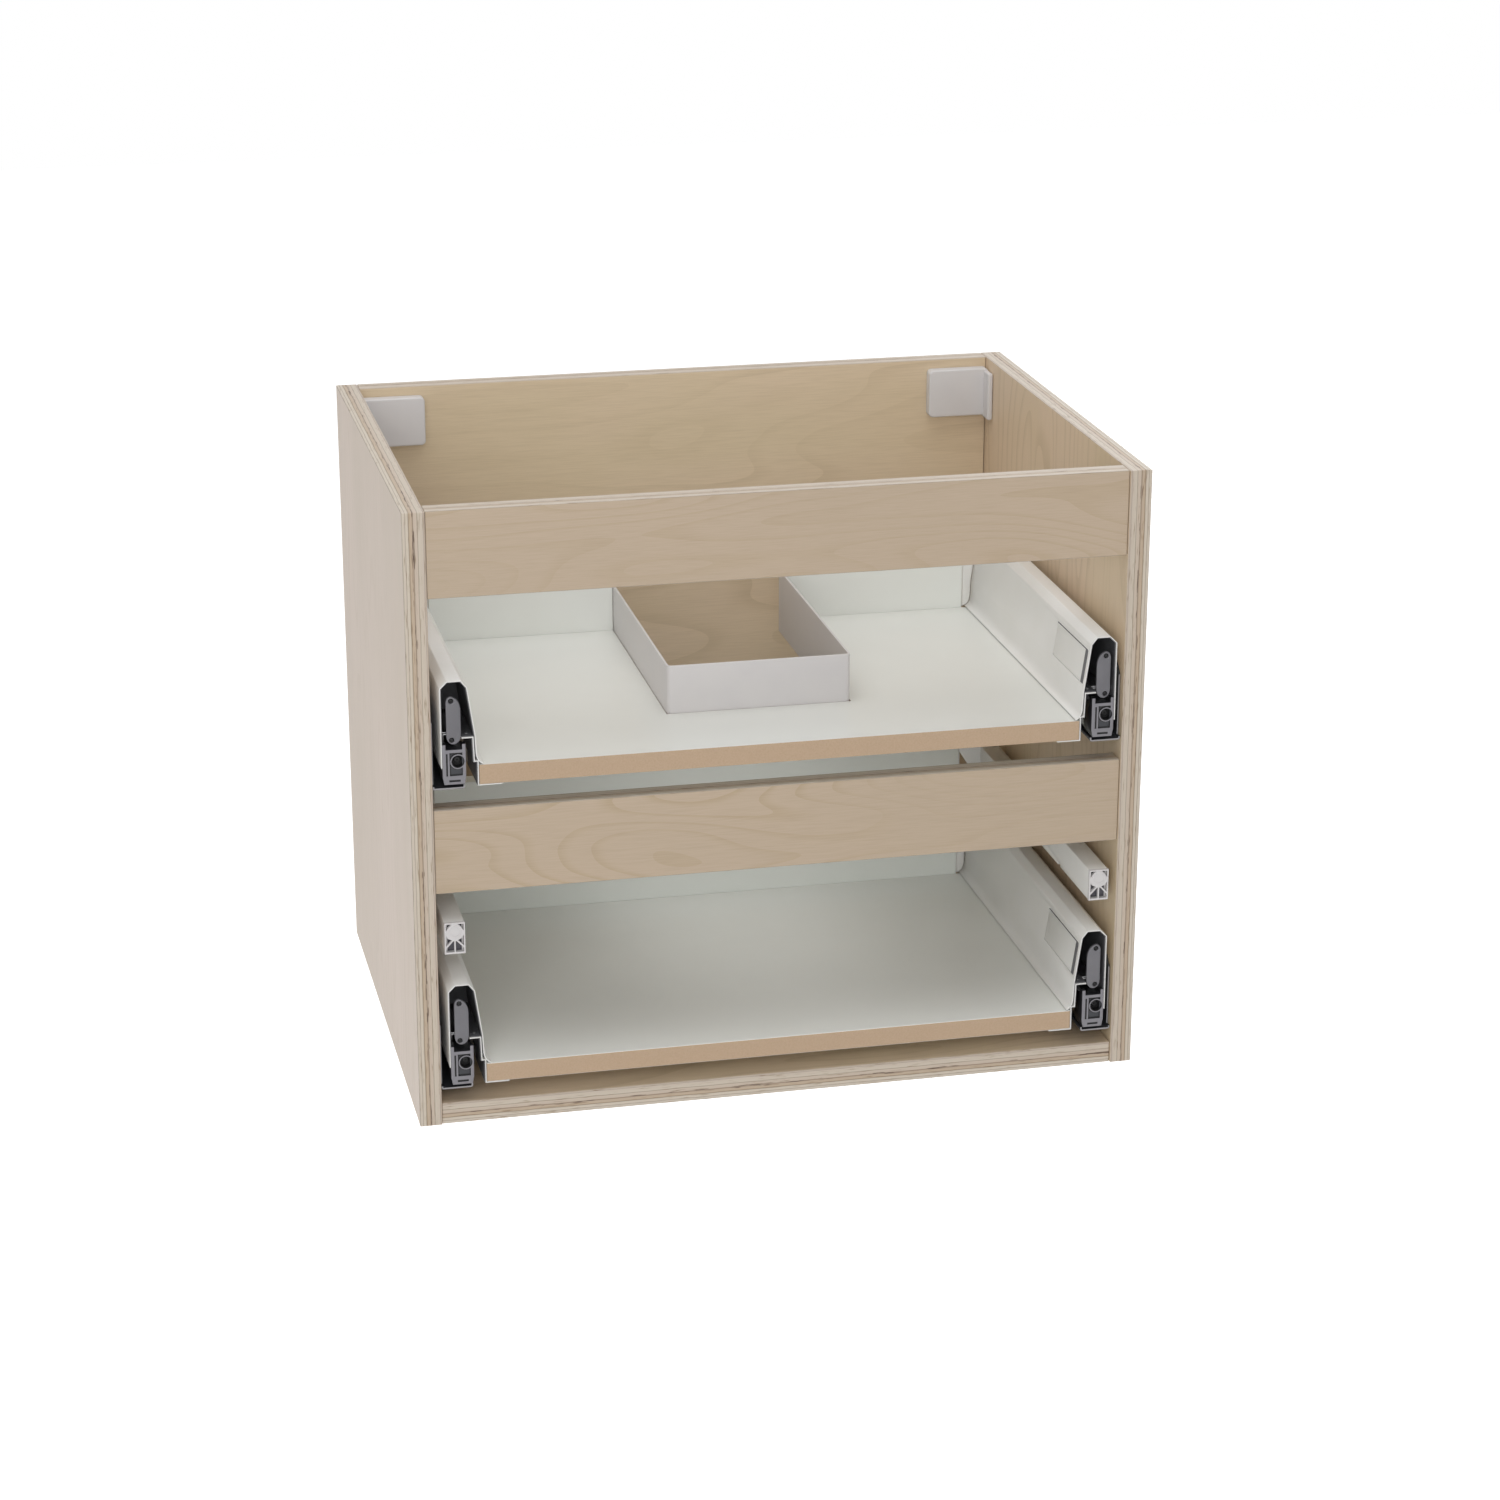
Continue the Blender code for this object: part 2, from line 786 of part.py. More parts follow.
def add_runner(word, drawer, side, runner, drawer_body, middle_body):
    start = depth(cabinet_member_start)
    member = add_profile_sheet(
        f"{drawer}_runner_cabinet_member_{word}",
        rounded_path(at_drawer(side, runner, cabinet_member_points()), bend_radius),
        start, start + drawer_length, cabinet_sheet, cabinet, dark_steel,
    )
    top = level(runner + wing_height)
    wing_front = start + wing_set_back
    corner = [
        (start - cutter_overrun, level(runner + tray_lip)),
        (wing_front, level(runner + tray_lip)),
        (wing_front, top - wing_corner),
        (wing_front + wing_corner + cutter_overrun, top + cutter_overrun),
        (start - cutter_overrun, top + cutter_overrun),
    ]
    left = min(across(side, inner_face - cutter_overrun), across(side, side_face))
    thickness = side_standoff + cutter_overrun
    cutter = add_side_prism("cutter", corner, left, thickness, cabinet, dark_steel)
    combine(member, cutter, "DIFFERENCE")
    add_profile_sheet(
        f"{drawer}_runner_middle_member_{word}",
        rounded_path(at_drawer(side, runner, middle_member_points()), bend_radius),
        depth(middle_start), depth(middle_start + drawer_length - middle_shortening),
        middle_sheet, middle_body, bright_steel,
    )
    add_profile_sheet(
        f"{drawer}_runner_drawer_member_{word}",
        rounded_path(at_drawer(side, runner, drawer_member_points()), bend_radius),
        depth(block_end + seat_gap), depth(chassis_end), drawer_member_sheet, drawer_body,
        bright_steel,
    )


def add_front_block(word, drawer, side, runner, body):
    """The casting that hooks the drawer on its runner, with a round boss and two prongs."""
    outer = side_face + side_skin + seat_gap
    left = min(across(side, outer), across(side, outer + block_width))
    bottom = level(runner + block_lift)
    front = depth(drawer_front + block_front)

    def block_box(operation, low, high, far):
        return operation(
            block,
            (left + low[0], front - cutter_overrun, bottom + low[1]),
            (left + high[0], front + far, bottom + high[1]),
            body, grey_zinc,
        )

    outline = [
        (left + block_corner_width, bottom),
        (left + block_width - block_corner_width, bottom),
        (left + block_width, bottom + block_corner_height),
        (left + block_width, bottom + block_height + prong_height),
        (left + block_width - prong_width, bottom + block_height + prong_height),
        (left + block_width - prong_width, bottom + block_height),
        (left + prong_width, bottom + block_height),
        (left + prong_width, bottom + block_height + prong_height),
        (left, bottom + block_height + prong_height),
        (left, bottom + block_corner_height),
    ]
    block = add_upright_prism(
        f"{drawer}_front_fixing_block_{word}", [outline], front, block_depth, body, grey_zinc
    )
    behind_prongs = add_box(
        "cutter",
        (left - cutter_overrun, front + prong_depth, bottom + block_height),
        (left + block_width + cutter_overrun, front + block_depth + cutter_overrun,
         bottom + block_height + prong_height + cutter_overrun),
        body, grey_zinc,
    )
    combine(block, behind_prongs, "DIFFERENCE")
    field_right = block_width - prong_width
    block_box(
        box_cut, (field_offset, field_rise), (field_right, field_rise + field_height), field_depth
    )
    centre = (left + boss_offset, bottom + boss_rise)
    boss = add_upright_prism(
        "joined", [circle(centre, boss_radius)], front, boss_hole_depth, body, grey_zinc
    )
    combine(block, boss, "UNION")
    hole = add_upright_prism(
        "cutter", [circle(centre, boss_hole_radius)], front - cutter_overrun,
        boss_hole_depth + cutter_overrun, body, grey_zinc,
    )
    combine(block, hole, "DIFFERENCE")
    block_box(
        box_cut, (slot_offset, field_rise), (slot_offset + slot_width, field_rise + slot_height), slot_depth
    )
    block_box(
        box_cut,
        (foot_slot_offset, foot_slot_rise),
        (foot_slot_offset + foot_slot_width, foot_slot_rise + foot_slot_height),
        slot_depth,
    )


def add_link_plate(word, drawer, side, base, body):
    outline = [
        (plate_inset + u * plate_width, plate_rise + v * plate_height)
        for u, v in plate_outline_shares
    ]
    middle = plate_rise + plate_height / 2
    holes = [
        circle((plate_inset + plate_hole_offset, middle + offset), plate_hole_radius)
        for offset in (-plate_hole_pitch / 2, plate_hole_pitch / 2)
    ]
    add_upright_prism(
        f"{drawer}_front_link_plate_{word}",
        [at_drawer(side, base, loop) for loop in (outline, *holes)],
        depth(plate_front), plate_thickness, body, grey_zinc,
    )


def add_rear_bracket(word, drawer, side, base, body, tall):
    """A bent steel bracket: a leg beside the back, a flange behind it, a plate out to the side."""
    leg = back_inset - seat_gap - bracket_sheet / 2
    front = depth(back_front + seat_gap)
    flange = depth(back_front + drawer_board + seat_gap) + bracket_sheet / 2
    wall = [
        (inset + bracket_shift, rise + bracket_lift)
        for inset, rise in side_wall_points()[4:] + lip_points()
    ]
    low = wall[-1][1]
    top = tall_back_height if tall else bracket_top
    plan = [
        (across(side, leg), front + bracket_sheet / 2),
        (across(side, leg), flange),
        (across(side, leg + bracket_flange), flange),
    ]
    bracket = add_plan_sheet(
        f"{drawer}_rear_bracket_{word}", plan, level(base + low - bracket_sheet / 2),
        level(base + top), bracket_sheet, body, white_steel,
    )
    strip_top = bracket_top - bracket_sheet
    strip = [(leg, low), (leg, strip_top), (wall[0][0], strip_top)] + wall
    plate = add_upright_prism(
        "joined", [at_drawer(side, base, strip)], front, bracket_sheet, body, white_steel
    )
    combine(bracket, plate, "UNION")
    if tall:
        add_gallery_holder(bracket, side, base, body, leg, front)


def add_gallery_holder(bracket, side, base, body, leg, front):
    """The arm of a tall bracket, whose plug carries the rear end of the gallery rail."""
    outer, inner = rail_tube_inset, rail_tube_inset + rail_tube_width
    low, high = rail_tube_rise, rail_tube_rise + rail_tube_height
    arm = [
        (outer, low),
        (outer, high),
        (leg, high),
        (leg, high - holder_neck),
        (leg - holder_slope_run, low),
    ]
    holder = add_upright_prism(
        "joined", [at_drawer(side, base, arm)], front, holder_plate, body, white_steel
    )
    combine(bracket, holder, "UNION")
    clear = rail_tube_wall + seat_gap
    box_join(
        bracket,
        (across(side, outer + clear), front - holder_plug, level(base + low + clear)),
        (across(side, inner - clear), front + holder_plate / 2, level(base + high - clear)),
        body, white_steel,
    )


def add_gallery(word, side, base, body):
    """A rectangular tube along the side, and the ribbed plastic cap in its front end."""
    outer, inner = rail_tube_inset, rail_tube_inset + rail_tube_width
    low, high = rail_tube_rise, rail_tube_rise + rail_tube_height
    start, end = depth(rail_tube_start), depth(back_front)
    rim = [(outer, low), (inner, low), (inner, high), (outer, high)]
    wall = rail_tube_wall
    bore = [
        (outer + wall, low + wall), (inner - wall, low + wall),
        (inner - wall, high - wall), (outer + wall, high - wall),
    ]
    tube = add_upright_prism(
        f"gallery_rail_{word}",
        [at_drawer(side, base, rounded_path(rim, end_cap_corner, closed=True)),
         at_drawer(side, base, bore)],
        start, end - start, body, white_steel,
    )
    box_cut(
        tube,
        (across(side, inner - 2 * wall), depth(notch_start), level(base + low - cutter_overrun)),
        (across(side, inner + wall), depth(notch_start + notch_length), level(base + low + notch_height)),
        body, white_steel,
    )

    name = f"gallery_end_cap_{word}"
    cap_front = start - seat_gap - end_cap_plate
    cap = add_upright_prism(
        name, [at_drawer(side, base, rounded_path(rim, end_cap_corner, closed=True))],
        cap_front, end_cap_plate, body, white_plastic,
    )
    clear = wall + seat_gap
    box_join(
        cap,
        (across(side, outer + clear), cap_front + end_cap_plate / 2, level(base + low + clear)),
        (across(side, inner - clear), start + end_cap_plug, level(base + high - clear)),
        body, white_plastic,
    )
    for shares in end_cap_pocket_shares:
        pocket = [
            (outer + u * rail_tube_width, low + v * rail_tube_height) for u, v in shares
        ]
        cutter = add_upright_prism(
            "cutter", [at_drawer(side, base, pocket)], cap_front - cutter_overrun,
            end_cap_pocket + cutter_overrun, body, white_plastic,
        )
        combine(cap, cutter, "DIFFERENCE")


def add_upper_board_and_back(base, body):
    """The board cut out for the trap, the split back, and the trim round the cutout."""
    end = half_width - board_inset()
    front, rear = depth(drawer_front), depth(board_end)
    gap_half = cutout_width / 2
    cut_half = gap_half + seat_gap
    cut_front = depth(cutout_start) - seat_gap
    outline = [
        (-end, front), (end, front), (end, rear), (cut_half, rear),
        (cut_half, cut_front), (-cut_half, cut_front), (-cut_half, rear), (-end, rear),
    ]
    name = "upper_drawer_board"
    board = add_object(
        name, prism_mesh(name, [outline], drawer_board),
        (0.0, 0.0, level(base + drawer_board / 2)), body, laminate_board,
    )
    add_bevel(board, board_edge_break)
    back_front_y = depth(back_front)
    for word, side in SIDES:
        add_box(
            f"upper_drawer_back_{word}",
            (across(side, back_inset), back_front_y, level(base)),
            (side * cut_half, back_front_y + drawer_board, level(base + low_back_height)),
            body, laminate_board, board_edge_break,
        )
    trim_path = [
        (-gap_half + trim_wall / 2, back_front_y + drawer_board),
        (-gap_half + trim_wall / 2, depth(cutout_start) + trim_wall / 2),
        (gap_half - trim_wall / 2, depth(cutout_start) + trim_wall / 2),
        (gap_half - trim_wall / 2, back_front_y + drawer_board),
    ]
    trim = add_plan_sheet(
        "trap_cutout_trim", rounded_path(trim_path, trim_corner), level(base),
        level(base + trim_rise), trim_wall, body, white_plastic,
    )
    add_bevel(trim, board_edge_break)


def add_lower_board_and_back(base, body):
    end = half_width - board_inset()
    add_box(
        "lower_drawer_board",
        (-end, depth(drawer_front), level(base)),
        (end, depth(board_end), level(base + drawer_board)),
        body, laminate_board, board_edge_break,
    )
    front = depth(back_front)
    add_box(
        "lower_drawer_back",
        (across(-1, back_inset), front, level(base)),
        (across(1, back_inset), front + drawer_board, level(base + tall_back_height)),
        body, laminate_board, board_edge_break,
    )


def add_drawer(drawer, base, runner, body, middles):
    tall = drawer == "lower"
    for word, side in SIDES:
        add_drawer_side(word, drawer, side, base, body)
        add_chassis(word, drawer, side, base, body)
        add_runner(word, drawer, side, runner, body, middles)
        add_front_block(word, drawer, side, runner, body)
        add_link_plate(word, drawer, side, base, body)
        add_rear_bracket(word, drawer, side, base, body, tall)
        if tall:
            add_gallery(word, side, base, body)
    if tall:
        add_lower_board_and_back(base, body)
    else:
        add_upper_board_and_back(base, body)


clear_scene()
part_collection = new_collection("wall_hung_drawer_cabinet")
cutter_collection = new_collection("cutters")

birch_plywood = new_material("birch_plywood", (0.52, 0.42, 0.31), 0.45)
laminate_board = new_material("white_laminate_board", (0.66, 0.66, 0.63), 0.40)
white_steel = new_material("white_coated_steel", (0.62, 0.61, 0.59), 0.35)
grey_zinc = new_material("grey_zinc_casting", (0.16, 0.15, 0.16), 0.50, 0.6)
dark_steel = new_material("dark_coated_steel", (0.05, 0.05, 0.055), 0.45, 0.5)
bright_steel = new_material("zinc_plated_steel", (0.45, 0.45, 0.46), 0.35, 1.0)
white_plastic = new_material("white_plastic", (0.60, 0.58, 0.57), 0.40)

cabinet = new_body("cabinet", (0.0, 0.0, 0.0))
add_carcass()
for side_word, side_sign in SIDES:
    hook_place = (across(side_sign, hanger_inset), depth(back_panel_front), level(hanger_centre))
    add_hanger(side_word, side_sign, new_body(f"{side_word}_hanger_hook", hook_place))
for drawer_word, drawer_base, runner_base in DRAWERS:
    drawer_place = (0.0, depth(drawer_front), level(drawer_base))
    middle_place = (0.0, depth(middle_start), level(runner_base))
    drawer_empty = new_body(f"{drawer_word}_drawer", drawer_place)
    middle_empty = new_body(f"{drawer_word}_runner_middles", middle_place)
    add_drawer(drawer_word, drawer_base, runner_base, drawer_empty, middle_empty)
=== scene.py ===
# %% [markdown]
# # A wall-hung vanity cabinet of birch plywood
# The real cabinet is a plywood carcass with two drawers that run in white steel sides. It is made
# in a joinery shop from boards and bought-in fittings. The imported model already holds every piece
# at its real size, so this lesson never moves a piece. It gives each surface its finish, rounds the
# edges that a maker would break, adds the small fasteners, and sets a camera and soft light.

# %% Load the cabinet
import json
import math

import bmesh
import bpy
from mathutils import Euler, Matrix, Vector


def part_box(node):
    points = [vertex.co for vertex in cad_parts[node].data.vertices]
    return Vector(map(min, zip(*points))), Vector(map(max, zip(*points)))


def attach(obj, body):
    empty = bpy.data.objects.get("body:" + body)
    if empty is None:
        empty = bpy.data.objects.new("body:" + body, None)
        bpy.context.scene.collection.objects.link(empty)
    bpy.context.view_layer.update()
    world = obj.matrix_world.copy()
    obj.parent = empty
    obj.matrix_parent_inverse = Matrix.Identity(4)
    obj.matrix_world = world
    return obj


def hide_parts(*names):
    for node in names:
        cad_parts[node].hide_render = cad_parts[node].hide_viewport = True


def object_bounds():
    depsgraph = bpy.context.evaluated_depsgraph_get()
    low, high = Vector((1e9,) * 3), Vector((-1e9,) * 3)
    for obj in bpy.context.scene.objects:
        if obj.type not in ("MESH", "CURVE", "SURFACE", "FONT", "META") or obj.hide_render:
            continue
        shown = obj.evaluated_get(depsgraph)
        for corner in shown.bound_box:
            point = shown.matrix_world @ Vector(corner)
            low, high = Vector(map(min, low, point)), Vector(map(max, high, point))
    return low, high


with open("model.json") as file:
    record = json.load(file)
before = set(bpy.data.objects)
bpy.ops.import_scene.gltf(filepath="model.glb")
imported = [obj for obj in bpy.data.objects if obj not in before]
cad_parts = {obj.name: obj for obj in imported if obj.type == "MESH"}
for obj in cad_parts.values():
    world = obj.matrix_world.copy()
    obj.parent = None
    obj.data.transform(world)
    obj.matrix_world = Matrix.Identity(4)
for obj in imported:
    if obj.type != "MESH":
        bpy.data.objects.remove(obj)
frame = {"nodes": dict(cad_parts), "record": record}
cad_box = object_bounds()
nodes = frame["nodes"]
mm = 0.001
SIDES = (("left", -1), ("right", 1))
DRAWERS = ("upper", "lower")
FITTINGS = [(drawer, word, side) for drawer in DRAWERS for word, side in SIDES]
print(len(nodes), "pieces from", tuple(round(v, 3) for v in cad_box[0]), "to",
      tuple(round(v, 3) for v in cad_box[1]))

# %% [markdown]
# ## The camera
# The photograph was taken from in front of the cabinet, a little to its left and above it, with a
# long lens. A camera could be aimed at the cabinet with a constraint, but a place, three turns
# and a lens length are plain numbers that say the same and hold still.

# %% Camera
camera_place = (-0.6277, -3.0802, 0.9908)
camera_turn_degrees = (70.8234, -0.0451, -12.7282)
lens_mm = 86.96
sensor_mm = 36.0

camera_data = bpy.data.cameras.new("camera")
camera_data.lens = lens_mm
camera_data.sensor_width = sensor_mm
camera = bpy.data.objects.new("camera", camera_data)
camera.location = camera_place
camera.rotation_euler = Euler([math.radians(turn) for turn in camera_turn_degrees])
bpy.context.scene.collection.objects.link(camera)
bpy.context.scene.camera = camera
print("camera", round((camera.location - (cad_box[0] + cad_box[1]) / 2).length, 2), "m away")

# %% [markdown]
# ## Helpers for materials
# A colour is picked from a swatch as an sRGB hex value, while the shader works in linear light, so
# one function turns the first into the second. Another adds a node with its settings, and a third
# feeds the inputs of a node. With these, a material reads as a list of what it is made of. Inputs
# go by name, or by number where a node has several of one name: 0, 6 and 7 of a Mix node are its
# factor and its two colours.

# %% Colour and node helpers
def linear(swatch):
    """Linear red, green, blue and alpha of an sRGB swatch such as B8A891."""
    parts = [int(swatch[k:k + 2], 16) / 255 for k in (0, 2, 4)]
    light = [p / 12.92 if p <= 0.04045 else ((p + 0.055) / 1.055) ** 2.4 for p in parts]
    return (*light, 1.0)


def feed(tree, node, inputs):
    """Feeds the inputs of a node, each with a value, a socket, a node or a list of these two."""
    for key, value in inputs.items():
        for source in value if isinstance(value, list) else [value]:
            if isinstance(source, bpy.types.Node):
                source = next(socket for socket in source.outputs if socket.enabled)
            if isinstance(source, bpy.types.NodeSocket):
                tree.links.new(source, node.inputs[key])
            else:
                node.inputs[key].default_value = source


def add_node(tree, kind, inputs=None, stops=(), **settings):
    """Adds a node with its settings, its inputs and the stops of its colour ramp."""
    node = tree.nodes.new(kind)
    for key, value in settings.items():
        setattr(node, key, value)
    feed(tree, node, inputs or {})
    for k, (place, swatch) in enumerate(stops):
        ramp = node.color_ramp.elements
        stop = ramp[k] if k < len(ramp) else ramp.new(place)
        stop.position = place
        stop.color = linear(swatch)
    return node


def new_material(name):
    """An empty material: its node tree and its surface shader."""
    material = bpy.data.materials.new(name)
    material.use_nodes = True
    tree = material.node_tree
    tree.nodes.clear()
    shader = add_node(tree, "ShaderNodeBsdfPrincipled")
    add_node(tree, "ShaderNodeOutputMaterial", {"Surface": shader})
    return material, tree, shader


print("swatch 808080 is", round(linear("808080")[0], 3), "in linear light")

# %% [markdown]
# ## Birch plywood: the face
# Birch plywood is a stack of veneers, peeled from the log like paper from a roll and glued with
# the grain turned at each layer. Peeling cuts the growth rings at a flat angle, so a face shows
# wide, calm flames, and a fine short fibre.
# A photograph of wood could be wrapped round the boards, but it would repeat and stretch. Here the
# rings are steps of a smooth noise field that is drawn long along the grain. Each begins as a sharp
# line, where the late wood of one year ends, and fades into the next, and the rings show most where
# the veneer is pale. The same noise at other sizes gives the slow change of tone and the fibre.

# %% The figure of a birch veneer
flame_width = 80 * mm
flame_length = 420 * mm
tone_width = 150 * mm
tone_length = 330 * mm
fibre_width = 0.8 * mm
fibre_length = 24 * mm
flame_fade_share = 0.4
flame_line = "A18B63"
# Values of the tone field between which the rings grow faint, and how much of them stays
faint_from, faint_to = 0.40, 0.60
faint_share = 0.25
tone_places = (0.35, 0.65)
FIBRE_STOPS = ((0.30, "F7F6F4"), (0.60, "FFFFFF"))
# Each pattern: its size along the grain, its size across it, and how rough it is
VENEER_PATTERNS = {
    "flame": (flame_length, flame_width, 1.2),
    "tone": (tone_length, tone_width, 2.0),
    "fibre": (fibre_length, fibre_width, 3.0),
}


def veneer_patterns(tree, place, along, seed):
    """The noise fields of one veneer, long in the direction of its grain."""
    fields = {}
    for k, (name, (length, width, detail)) in enumerate(VENEER_PATTERNS.items()):
        scale = tuple(1 / (length if axis == along else width) for axis in "XYZ")
        moved = add_node(
            tree, "ShaderNodeMapping",
            {"Vector": place.outputs["Object"], "Location": (seed, seed + k, seed), "Scale": scale},
        )
        fields[name] = add_node(
            tree, "ShaderNodeTexNoise", {"Vector": moved, "Scale": 1.0, "Detail": detail}
        )
    return fields


def veneer_colour(tree, fields, swatches, ring_step, ring_strength):
    """Two close tones, under rings that start sharply and fade, and under a faint fibre."""
    tone = add_node(
        tree, "ShaderNodeValToRGB", {0: fields["tone"]}, stops=zip(tone_places, swatches)
    )
    rings = add_node(
        tree, "ShaderNodeMath", {0: fields["flame"], 1: ring_step}, operation="MODULO"
    )
    fade = add_node(
        tree, "ShaderNodeMapRange",
        {"Value": rings, "From Max": ring_step * flame_fade_share, "To Min": 1.0, "To Max": 0.0},
        interpolation_type="SMOOTHSTEP",
    )
    depth = add_node(
        tree, "ShaderNodeMapRange",
        {"Value": fields["tone"], "From Min": faint_from, "From Max": faint_to,
         "To Min": ring_strength, "To Max": ring_strength * faint_share},
    )
    line = add_node(tree, "ShaderNodeMath", {0: fade, 1: depth}, operation="MULTIPLY")
    lined = add_node(
        tree, "ShaderNodeMix", {0: line, 6: tone, 7: linear(flame_line)}, data_type="RGBA"
    )
    fibre = add_node(tree, "ShaderNodeValToRGB", {0: fields["fibre"]}, stops=FIBRE_STOPS)
    return add_node(
        tree, "ShaderNodeMix", {0: 1.0, 6: lined, 7: fibre}, data_type="RGBA", blend_type="MULTIPLY"
    )


print("flames", round(flame_width / mm), "mm wide, fibres", round(fibre_width / mm, 1), "mm")

# %% [markdown]
# ## Birch plywood: the edge
# A sawn edge shows the stack. Layers with their grain along the edge look smooth and pale, the
# ones cut across look darker and pitted, and each glue line is a thin brown thread that wanders a
# little. A separate mesh for every veneer would be heavy, so a colour ramp stands for the stack.
# It follows the real distance from the board's inner face, shifted a little by a slow noise.

# %% The layers in a plywood edge
wander_length = 24 * mm
wander_share = 0.05
pit_length = 14 * mm
pit_width = 0.9 * mm
void_tone = "5E4B3D"
# Values of the pit field between which a pit of the core opens into a void
void_from, void_to = 0.43, 0.38
# Share of the thickness from the inner face, and the tone there
PLY_STOPS = (
    (0.00, "BAAB9B"), (0.055, "BDAF9F"), (0.075, "9C8B7F"), (0.10, "C3B6A7"), (0.30, "C6BBAB"),
    (0.325, "938272"), (0.35, "C3B5A5"), (0.48, "C1B1A0"), (0.52, "867361"), (0.56, "B8A590"),
    (0.66, "BBA891"), (0.70, "8C7966"), (0.735, "C9BEAE"), (0.83, "CBC0B1"), (0.85, "9C8B7B"),
    (0.88, "C9BEAF"), (0.965, "C7BCAD"), (1.00, "968778"),
)
# A shallow pit darkens a little, a deep one more
PIT_STOPS = ((0.24, "B5A999"), (0.31, "E3DCD3"), (0.42, "FFFFFF"))
# The core veneer is the one that is patched least, so that only there small voids stay open
VOID_STOPS = ((0.45, "000000"), (0.49, "FFFFFF"), (0.55, "FFFFFF"), (0.59, "000000"))


def ply_colour(tree, place, parts, through, inner, outer, seed):
    """The stack of veneers from the inner face of a board, at 0, to its outer face, at 1."""
    moved = add_node(
        tree, "ShaderNodeMapping", {"Vector": place.outputs["Object"], "Location": (seed, 0.0, seed)}
    )
    pit_scale = tuple(1 / (pit_width if axis == through else pit_length) for axis in "XYZ")
    slow = add_node(
        tree, "ShaderNodeTexNoise", {"Vector": moved, "Scale": 1 / wander_length, "Detail": 3.0}
    )
    shift = add_node(
        tree, "ShaderNodeMapRange",
        {"Value": slow, "To Min": -wander_share / 2, "To Max": wander_share / 2},
    )
    share = add_node(
        tree, "ShaderNodeMapRange", {"Value": parts[through], "From Min": inner, "From Max": outer}
    )
    wandering = add_node(tree, "ShaderNodeMath", {0: share, 1: shift}, operation="ADD")
    layers = add_node(tree, "ShaderNodeValToRGB", {0: wandering}, stops=PLY_STOPS)
    stretched = add_node(
        tree, "ShaderNodeMapping", {"Vector": place.outputs["Object"], "Scale": pit_scale}
    )
    long_pits = add_node(
        tree, "ShaderNodeTexNoise", {"Vector": stretched, "Scale": 1.0, "Detail": 2.0}
    )
    pits = add_node(tree, "ShaderNodeValToRGB", {0: long_pits}, stops=PIT_STOPS)
    pitted = add_node(
        tree, "ShaderNodeMix", {0: 1.0, 6: layers, 7: pits}, data_type="RGBA", blend_type="MULTIPLY"
    )
    in_core = add_node(tree, "ShaderNodeValToRGB", {0: wandering}, stops=VOID_STOPS)
    open_pits = add_node(
        tree, "ShaderNodeMapRange", {"Value": long_pits, "From Min": void_from, "From Max": void_to}
    )
    void = add_node(tree, "ShaderNodeMath", {0: in_core, 1: open_pits}, operation="MULTIPLY")
    return add_node(
        tree, "ShaderNodeMix", {0: void, 6: pitted, 7: linear(void_tone)}, data_type="RGBA"
    )


print(len(PLY_STOPS), "tones from the inner to the outer face of a board")

# %% [markdown]
# ## Birch plywood: the boards
# Sanded and lacquered birch is smooth but not glossy: the eye reads it by its warm, even tone and
# by a broad dull sheen. The surface normal says whether a point lies on a face or on an edge.
# Every board gets its own seed, so that no two boards show the same figure.

# %% Plywood boards
face_cosine = 0.75
lacquer_roughness = (0.40, 0.54)
fibre_height = 0.04 * mm
fibre_strength = 0.25
# The rails keep the veneer's own tone. The boards inside the carcass take a paler one, painted light
# that makes up for the shade in there, and the left side's outer veneer is paler and greyer still, a
# painted sheen of the stronger light and the white reflection on that side.
rail_veneer = ("BCA993", "B7A58F")
lit_interior_veneer = ("DAC4AA", "D4C1A2")
left_lit_veneer = ("D5C4B5", "CEBEAD")
# Each board: the axis through it, the axis of its grain, whether its inner face is the high one,
# its veneer, its seed, and how closely and how darkly its rings are drawn
BOARDS = {
    "side_panel_left": ("X", "Z", True, left_lit_veneer, 1.3, 0.08, 0.12),
    "side_panel_right": ("X", "Z", False, lit_interior_veneer, 2.6, 0.07, 0.24),
    "bottom_panel": ("Z", "X", True, lit_interior_veneer, 3.2, 0.07, 0.24),
    "top_front_rail": ("Y", "X", True, rail_veneer, 4.7, 0.05, 0.22),
    "middle_front_rail": ("Y", "X", True, rail_veneer, 15.4, 0.04, 0.36),
    "back_panel": ("Y", "X", False, lit_interior_veneer, 6.1, 0.09, 0.30),
}


